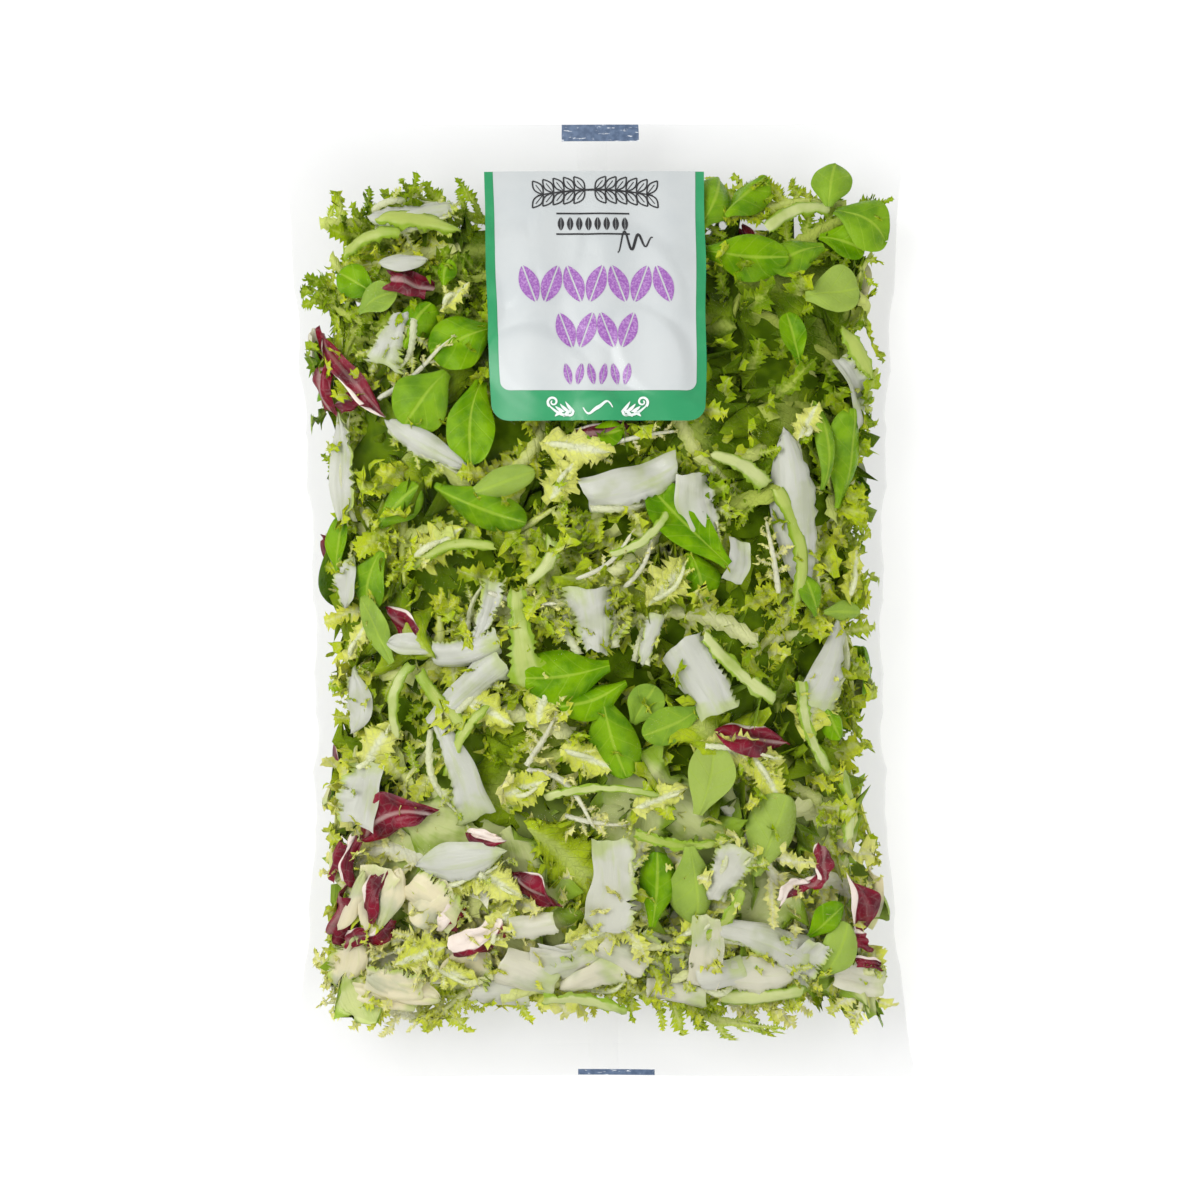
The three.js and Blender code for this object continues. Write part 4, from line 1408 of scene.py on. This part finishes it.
def makeFilm():
    # a tube of film: the form's own surface moved outwards by the creases, with the seals crimped by a
    # sine up and down, and its ends closed
    columns = filmForm["columns"]
    s = -halfTube + 2 * halfTube * np.arange(columns) / columns
    sealRows = np.arange(sealY, halfLength, filmForm["sealStep"])
    bodyRows = np.linspace(-sealY, sealY, int(2 * sealY / filmForm["rowStep"]))
    y = np.concatenate([[-halfLength], -sealRows[:0:-1], bodyRows, sealRows[1:], [halfLength]])
    sGrid, yGrid = np.meshgrid(s, y)
    base = lookUp(filmRows, sGrid, yGrid)
    normal = lookUp(normalRows, sGrid, yGrid)
    inSeal = softStep(sealY, sealY + 1.5, np.abs(yGrid))
    crimp = filmForm["crimp"] * np.sin(2 * np.pi * yGrid / filmForm["crimpPitch"]) * inSeal
    out = creases(sGrid, yGrid) * (1 - inSeal)
    points = base + normal * out[..., None]
    points[..., 2] = np.where(inSeal > 0, points[..., 2] + crimp, np.maximum(points[..., 2], bag["tableGap"]))
    grid, ring = ringGrid(len(y), columns)
    caps = np.concatenate([endCap(grid[0], columns)[:, ::-1], endCap(grid[-1], columns)])
    both = np.concatenate([caps[:, [0, 1, 2]], caps[:, [0, 2, 3]]])
    sound = (both[:, 0] != both[:, 1]) & (both[:, 1] != both[:, 2]) & (both[:, 0] != both[:, 2])
    quads = gridQuads(ring)
    film = filmMaterial("clearFilm", filmLook)
    piece = makeMesh("film", points.reshape(-1, 3), [quads, both[sound]], [film], "film")
    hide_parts("bag")
    print("film made,", 2 * len(quads), "triangles")


makeFilm()

# The print on the film's inner side. Places are on the laid-flat film: s across and y along.

printed = {
    # the panel's four corners, as pixels of the photograph: left and right above, then below
    "corners": [(484, 173), (704, 171), (492, 423), (706, 422)],
    "drop": 1.0,  # how far the panel reaches below the part's label
    "radius": 6.5,
    "border": 3.5,
    "band": 11.8,
    "fieldRadius": 3.6,
    "baseDepth": 0.5,
    "fieldDepth": 0.3,
    "inkDepth": 0.15,
}


def printPatch(sides, bottom, top, depth, cornerRadius=0.0, columns=90, rows=110):
    # a patch of ink between two slanting sides, each given where it meets the top and the bottom: a grid
    # whose rows draw in by a circle at the rounded lower corners
    y = bottom + (top - bottom) * np.linspace(0, 1, rows)[:, None] ** 1.2
    into = np.maximum(0, cornerRadius - (y - bottom))
    inset = cornerRadius - np.sqrt(np.maximum(0, cornerRadius**2 - into**2))
    down = (top - y) / (top - bottom)
    start = sides[0][0] + (sides[0][1] - sides[0][0]) * down + inset
    end = sides[1][0] + (sides[1][1] - sides[1][0]) * down - inset
    s = start + (end - start) * np.linspace(0, 1, columns)[None, :]
    return inkOnFilm(s, y + 0 * s, depth)


def inkOnFilm(s, y, depth):
    # a grid of places on the laid-flat film, set a depth inside it
    points = lookUp(filmRows, s, y) - lookUp(normalRows, s, y) * depth
    return points.reshape(-1, 3), gridQuads(np.arange(s.size).reshape(s.shape))


def inkStroke(path, widths, depth):
    # a ribbon along a path: each point moved half a width to both sides of the path's direction
    path = np.asarray(path, float)
    ahead = np.gradient(path, axis=0)
    ahead /= np.maximum(np.linalg.norm(ahead, axis=1, keepdims=True), 1e-6)
    side = np.stack([ahead[:, 1], -ahead[:, 0]], -1) * (np.asarray(widths) / 2)[:, None]
    s = np.stack([path[:, 0] - side[:, 0], path[:, 0], path[:, 0] + side[:, 0]], 1)
    y = np.stack([path[:, 1] - side[:, 1], path[:, 1], path[:, 1] + side[:, 1]], 1)
    return inkOnFilm(s, y, depth)


def leafShape(cx, cy, length, width, turn, depth):
    # a pointed oval of two halves, with a bare line between them for the midrib
    q = np.linspace(0, 1, 15)
    half = width / 2 * np.sin(np.pi * q) ** 0.8
    shapes = []
    for side in (-1, 1):
        x = side * np.stack([0.05 * width + 0 * q, 0.05 * width + half * 0.5, 0.05 * width + half], 1)
        y = ((q - 0.5) * length)[:, None] + 0 * x
        s = cx + x * math.cos(turn) - y * math.sin(turn)
        points, quads = inkOnFilm(s, cy + x * math.sin(turn) + y * math.cos(turn), depth)
        shapes.append((points, quads if side > 0 else quads[:, ::-1]))
    return shapes


def joinShapes(groups):
    # groups of (points, quads) for each material, joined to one list of points
    points, faces, offset = [], [], 0
    for group in groups:
        quadsHere = []
        for p, q in group:
            points.append(p)
            quadsHere.append(q + offset)
            offset += len(p)
        faces.append(np.concatenate(quadsHere))
    return np.concatenate(points), faces


labelMotifs = {
    "leafRows": [
        {"y": 123.8, "count": 7, "pitch": 8.7, "length": 15.4, "width": 7.0, "turn": 20},
        {"y": 105.2, "count": 4, "pitch": 8.0, "length": 14.6, "width": 6.6, "turn": 20},
        {"y": 87.8, "count": 6, "pitch": 4.5, "length": 8.6, "width": 2.8, "turn": 12},
    ],
    "sprig": {"y": 160.4, "length": 46, "leaves": 11, "leafLength": 7.2, "stroke": 0.75},
    "rule": {"y": 148.4, "width": 29, "gap": 8.6, "stroke": 0.7},
    "ruleLeaves": {"count": 8, "length": 5.6, "width": 2.3},
    "curl": {"x": 15.5, "y": 141.2, "width": 14, "height": 3.2, "stroke": 0.9},
    "scroll": {
        "y": 74.6,
        "size": 1.14,
        "stroke": 0.95,
        # radius, middle, first angle and turns of each spiral, then the root, length and rise of each leaf
        "spirals": [(1.9, 15.0, 1.9, -0.9, 1.3), (1.3, 9.6, -1.7, 2.4, 1.2)],
        "leaves": [(7.8, 3.0, 3.4), (9.4, 3.2, 2.6), (11.2, 3.0, 1.8), (9.2, 2.4, -1.8), (11.8, 2.6, -1.6)],
    },
}


def sprigShapes(middle, ink):
    # a level twig as a shallow arc with outlined leaves in pairs, a row of small leaves between two
    # thin rules under it, and a short wave that fades out
    m = labelMotifs["sprig"]
    t = np.linspace(-1, 1, 60)
    twig = np.stack([middle + t * m["length"] / 2, m["y"] + 2.4 * (1 - t**2)], 1)
    shapes = [inkStroke(twig, m["stroke"] * (1.3 - 0.6 * np.abs(t)), ink)]
    for i in range(m["leaves"]):
        share = -0.9 + 1.8 * i / (m["leaves"] - 1)
        root = np.array([middle + share * m["length"] / 2, m["y"] + 2.4 * (1 - share**2)])
        for side in (1, -1):
            heading = np.array([0.6 * (1 if share >= 0 else -1), 0.8 * side])
            sideways = np.array([heading[1], -heading[0]])
            q = np.linspace(0, 1, 14)
            for edge in (1, -1, 0):
                bow = 0.24 * m["leafLength"] * np.sin(np.pi * q) * edge
                run = q * m["leafLength"] * (1 if edge else 0.7)
                path = root + np.outer(run, heading) + np.outer(bow, sideways)
                shapes.append(inkStroke(path, np.full(14, m["stroke"] * (0.8 if edge else 0.5)), ink))
    r = labelMotifs["rule"]
    for y in (r["y"] - r["gap"] / 2, r["y"] + r["gap"] / 2):
        rule = [(middle - 1 + a * r["width"] / 2, y) for a in np.linspace(-1, 1, 30)]
        shapes.append(inkStroke(rule, np.full(30, r["stroke"]), ink))
    leaf = labelMotifs["ruleLeaves"]
    for i in range(leaf["count"]):
        cx = middle - 1 + (i - (leaf["count"] - 1) / 2) * r["width"] / leaf["count"]
        shapes += leafShape(cx, r["y"], leaf["length"], leaf["width"], 0.0, ink)
    c = labelMotifs["curl"]
    t = np.linspace(-1, 1, 40)
    rise = c["height"] * np.sin(2.6 * np.pi * t) * (1 - 0.5 * t)
    wave = np.stack([middle + c["x"] + t * c["width"] / 2, c["y"] + rise], 1)
    shapes.append(inkStroke(wave, c["stroke"] * (1.25 - 0.75 * np.abs(t)), ink))
    return shapes


def scrollShapes(middle, ink):
    # a lying S between two mirrored sprays: each spray is a long wave that ends in a spiral, a smaller
    # spiral under it, and short leaf strokes between them that swell by a sine
    m = labelMotifs["scroll"]
    k = m["size"]
    t = np.linspace(-1, 1, 40)
    bow = 1.9 * np.sin(np.pi * t) - 0.5 * np.sin(2 * np.pi * t)
    lying = np.stack([middle + 5.0 * k * t, m["y"] + bow * k], 1)
    shapes = [inkStroke(lying, m["stroke"] * (1.5 - 1.1 * np.abs(t)), ink)]
    for side in (-1, 1):
        a = np.linspace(0, 1, 40)
        for radius, cx, cy, start, turns in m["spirals"]:
            angle = start + a * turns * 2 * np.pi
            r = radius * (1 - 0.78 * a) * k
            x = middle + side * (cx * k + r * np.cos(angle))
            path = np.stack([x, m["y"] + cy * k + r * np.sin(angle)], 1)
            shapes.append(inkStroke(path, m["stroke"] * (1.1 - 0.6 * a), ink))
        stem = np.stack([16.2 - 7.4 * a, 0.5 - 3.0 * a - 1.2 * np.sin(np.pi * a)], 1) * k
        path = np.stack([middle + side * stem[:, 0], m["y"] + stem[:, 1]], 1)
        shapes.append(inkStroke(path, m["stroke"] * (0.5 + 0.6 * np.sin(np.pi * a)), ink))
        for x, length, rise in m["leaves"]:
            a = np.linspace(0, 1, 12)
            path = np.stack([middle + side * (x + length * a) * k, m["y"] + (-1.4 + rise * a**1.6) * k], 1)
            shapes.append(inkStroke(path, m["stroke"] * 1.3 * np.sin(np.pi * (0.06 + 0.88 * a)), ink))
    return shapes


# Each ink's colour, how it varies, its roughness and the scale of what is uneven
inks = {
    "greenInk": ((40, 148, 94), (54, 156, 102), 0.34, 60),
    "whiteInk": ((201, 205, 205), (195, 200, 201), 0.4, 30),
    "purpleInk": ((146, 86, 168), (186, 144, 200), 0.34, 1300),
    "darkInk": ((40, 40, 42), (56, 56, 58), 0.34, 400),
    "whiteLineInk": ((236, 240, 238), (214, 230, 222), 0.34, 400),
}


def leafRows(middle, ink):
    # rows of pointed leaves, leaning left and right in turn
    shapes = []
    for row in labelMotifs["leafRows"]:
        for i in range(row["count"]):
            x = middle + (i - (row["count"] - 1) / 2) * row["pitch"]
            turn = math.radians(row["turn"] * (1 if i % 2 == 0 else -1))
            shapes += leafShape(x, row["y"], row["length"], row["width"], turn, ink)
    return shapes


def makeLabel():
    # the panel between its two slanting sides, a paler field inside its border, and the motifs on that
    corners = [fromPixel(*corner) for corner in printed["corners"]]
    sides = [(corners[0][0], corners[2][0]), (corners[1][0], corners[3][0])]
    low, high = float(labelLow[1]) - printed["drop"], float(labelHigh[1])
    border = printed["border"]
    base = [printPatch(sides, low, high, printed["baseDepth"], printed["radius"])]
    inner = [(sides[0][0] + border, sides[0][1] + border), (sides[1][0] - border, sides[1][1] - border)]
    field = [printPatch(inner, low + printed["band"], high, printed["fieldDepth"], printed["fieldRadius"])]
    middle = (sum(sides[0]) + sum(sides[1])) / 4
    ink = printed["inkDepth"]
    groups = [base, field, leafRows(middle, ink), sprigShapes(middle, ink), scrollShapes(middle, ink)]
    points, faces = joinShapes(groups)
    materials = [inkMaterial(name, *look) for name, look in inks.items()]
    piece = makeMesh("label", points, faces, materials, "label")
    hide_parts("label")


makeLabel()
print("label made")

# The worn dark marks that the packing machine reads, one in the top seal and the edge of one at the foot
marks = {
    "top": {"centrePixel": (600.5, 150), "width": 31, "height": 6.9},
    "foot": {"centrePixel": (616, 1050), "width": 31, "height": 2.4},
    "fromEnd": 0.25,
    "depth": -0.12,  # on the outer side of the film
    "colours": ((62, 80, 106), (82, 100, 126)),
    "worn": (226, 230, 234),
}


def wornInk(name):
    # blue ink, worn away in short streaks across
    material, tree = newMaterial(name)
    where = onObject(tree)
    streaked = addNode(tree, "ShaderNodeMapping", {"Vector": where, "Scale": (0.22, 1.0, 1.0)}).outputs[0]
    worn = rangeOf(noiseOf(streaked, 1000, 5, 0.7), 0.58, 0.66)
    uneven = rangeOf(noiseOf(where, 500, 3), 0.35, 0.65)
    tone = mixColour(uneven, *(linear(*colour) for colour in marks["colours"]))
    finishSurface(tree, mixColour(worn, tone, linear(*marks["worn"])), 0.4)
    return material


def makeMarks():
    # two patches that start at the film's ends, where the bag was cut from the reel
    shapes = []
    for mark, sign in ((marks["top"], 1), (marks["foot"], -1)):
        s, _ = fromPixel(*mark["centrePixel"])
        half = mark["width"] / 2
        end = halfLength - marks["fromEnd"]
        low, high = sorted([sign * end, sign * (end - mark["height"])])
        sides = [(s - half,) * 2, (s + half,) * 2]
        shapes.append(printPatch(sides, low, high, marks["depth"], columns=40, rows=12))
    points, faces = joinShapes([shapes])
    makeMesh("printMarks", points, faces, [wornInk("blueInk")], "print_blue")


makeMarks()

seamLook = {**filmLook, "tint": (0.996, 0.996, 0.996, 1)}
seamForm = {
    "rows": 150,
    "columns": 9,
    "width": 12.0,
    "fromEnd": 0.6,
    "outer": 0.24,  # how far its two sides stand off the film
    "inner": 0.06,
    "ribbing": 0.04,
    "ribPitch": 2.6,
    "offTable": 0.03,
}


def makeBackSeam():
    # the lengthwise seam, a narrow lap of film that lies flat along the middle of the back
    form = seamForm
    end = halfLength - form["fromEnd"]
    y = np.linspace(-end, end, form["rows"])[:, None]
    s = halfTube + np.linspace(-0.5, 0.5, form["columns"])[None, :] * form["width"] + 0 * y
    y = y + 0 * s
    base, normal = lookUp(filmRows, s, y), lookUp(normalRows, s, y)
    ribbing = form["ribbing"] * np.sin(2 * np.pi * y / form["ribPitch"])
    lower = base + normal * (form["outer"] + ribbing)[..., None]
    upper = base + normal * form["inner"]
    lower[..., 2] = np.maximum(lower[..., 2], form["offTable"] + ribbing)
    grid = np.arange(s.size).reshape(s.shape)
    border = np.concatenate([grid[0, :], grid[1:, -1], grid[-1, -2::-1], grid[-2:0:-1, 0]])
    after = np.roll(border, -1)
    wall = np.stack([after, border, border + s.size, after + s.size], -1)
    faces = [gridQuads(grid), gridQuads(grid)[:, ::-1] + s.size, wall]
    points = np.concatenate([lower.reshape(-1, 3), upper.reshape(-1, 3)])
    seam = filmMaterial("clearSeam", seamLook)
    makeMesh("backSeam", points, faces, [seam], "film")


makeBackSeam()
print("marks and seam made")

# Floor, light and camera

lighting = {
    "world": 0.63,
    "floorGlow": 0.53,
    "floorWhite": 0.5,
    "floorSize": 6.0,
    "lamps": [
        {"place": (-1.3, 0.5, 1.7), "size": 1.6, "power": 43.5},
        {"place": (1.4, -0.8, 1.6), "size": 1.8, "power": 25},
    ],
}


def makeFloor():
    size = lighting["floorSize"]
    mesh = bpy.data.meshes.new("floor")
    corners = [(-size, -size, 0), (size, -size, 0), (size, size, 0), (-size, size, 0)]
    mesh.from_pydata(corners, [], [(0, 1, 2, 3)])
    material, tree = newMaterial("floorWhite")
    floorShader = finishSurface(tree, (lighting["floorWhite"],) * 3 + (1,), 0.7)
    floorShader.inputs["Emission Color"].default_value = (1, 1, 1, 1)
    floorShader.inputs["Emission Strength"].default_value = lighting["floorGlow"]
    mesh.materials.append(material)
    floor = bpy.data.objects.new("floor", mesh)
    bpy.context.scene.collection.objects.link(floor)


def makeLight():
    # an even white sky, and soft lamps that face the middle
    world = bpy.data.worlds.new("studio")
    bpy.context.scene.world = world
    world.use_nodes = True
    background = world.node_tree.nodes["Background"]
    background.inputs["Color"].default_value = (1, 1, 1, 1)
    background.inputs["Strength"].default_value = lighting["world"]
    for i, lamp in enumerate(lighting["lamps"]):
        light = bpy.data.lights.new(f"softbox{i}", "AREA")
        light.size = lamp["size"]
        light.energy = lamp["power"]
        holder = bpy.data.objects.new(f"softbox{i}", light)
        holder.location = lamp["place"]
        holder.rotation_euler = (-Vector(lamp["place"])).to_track_quat("-Z", "Y").to_euler()
        bpy.context.scene.collection.objects.link(holder)


def makeCamera():
    # straight down, with the frame's width as its pixels give it at the height of the seals
    camera = bpy.data.cameras.new("camera")
    wide = view["pixels"] * view["millimetresPerPixel"]
    camera.sensor_width = view["sensor"]
    camera.lens = view["sensor"] * (view["height"] - view["seals"]) / wide
    holder = bpy.data.objects.new("camera", camera)
    centreX = (view["pixels"] / 2 - view["centrePixel"][0]) * view["millimetresPerPixel"]
    centreY = (view["centrePixel"][1] - view["pixels"] / 2) * view["millimetresPerPixel"]
    holder.location = (centreX * mm, centreY * mm, view["height"] * mm)
    bpy.context.scene.collection.objects.link(holder)
    bpy.context.scene.camera = holder


makeFloor()
makeLight()
makeCamera()
bpy.context.scene.view_settings.view_transform = "Standard"
bpy.context.scene.cycles.transparent_max_bounces = 16
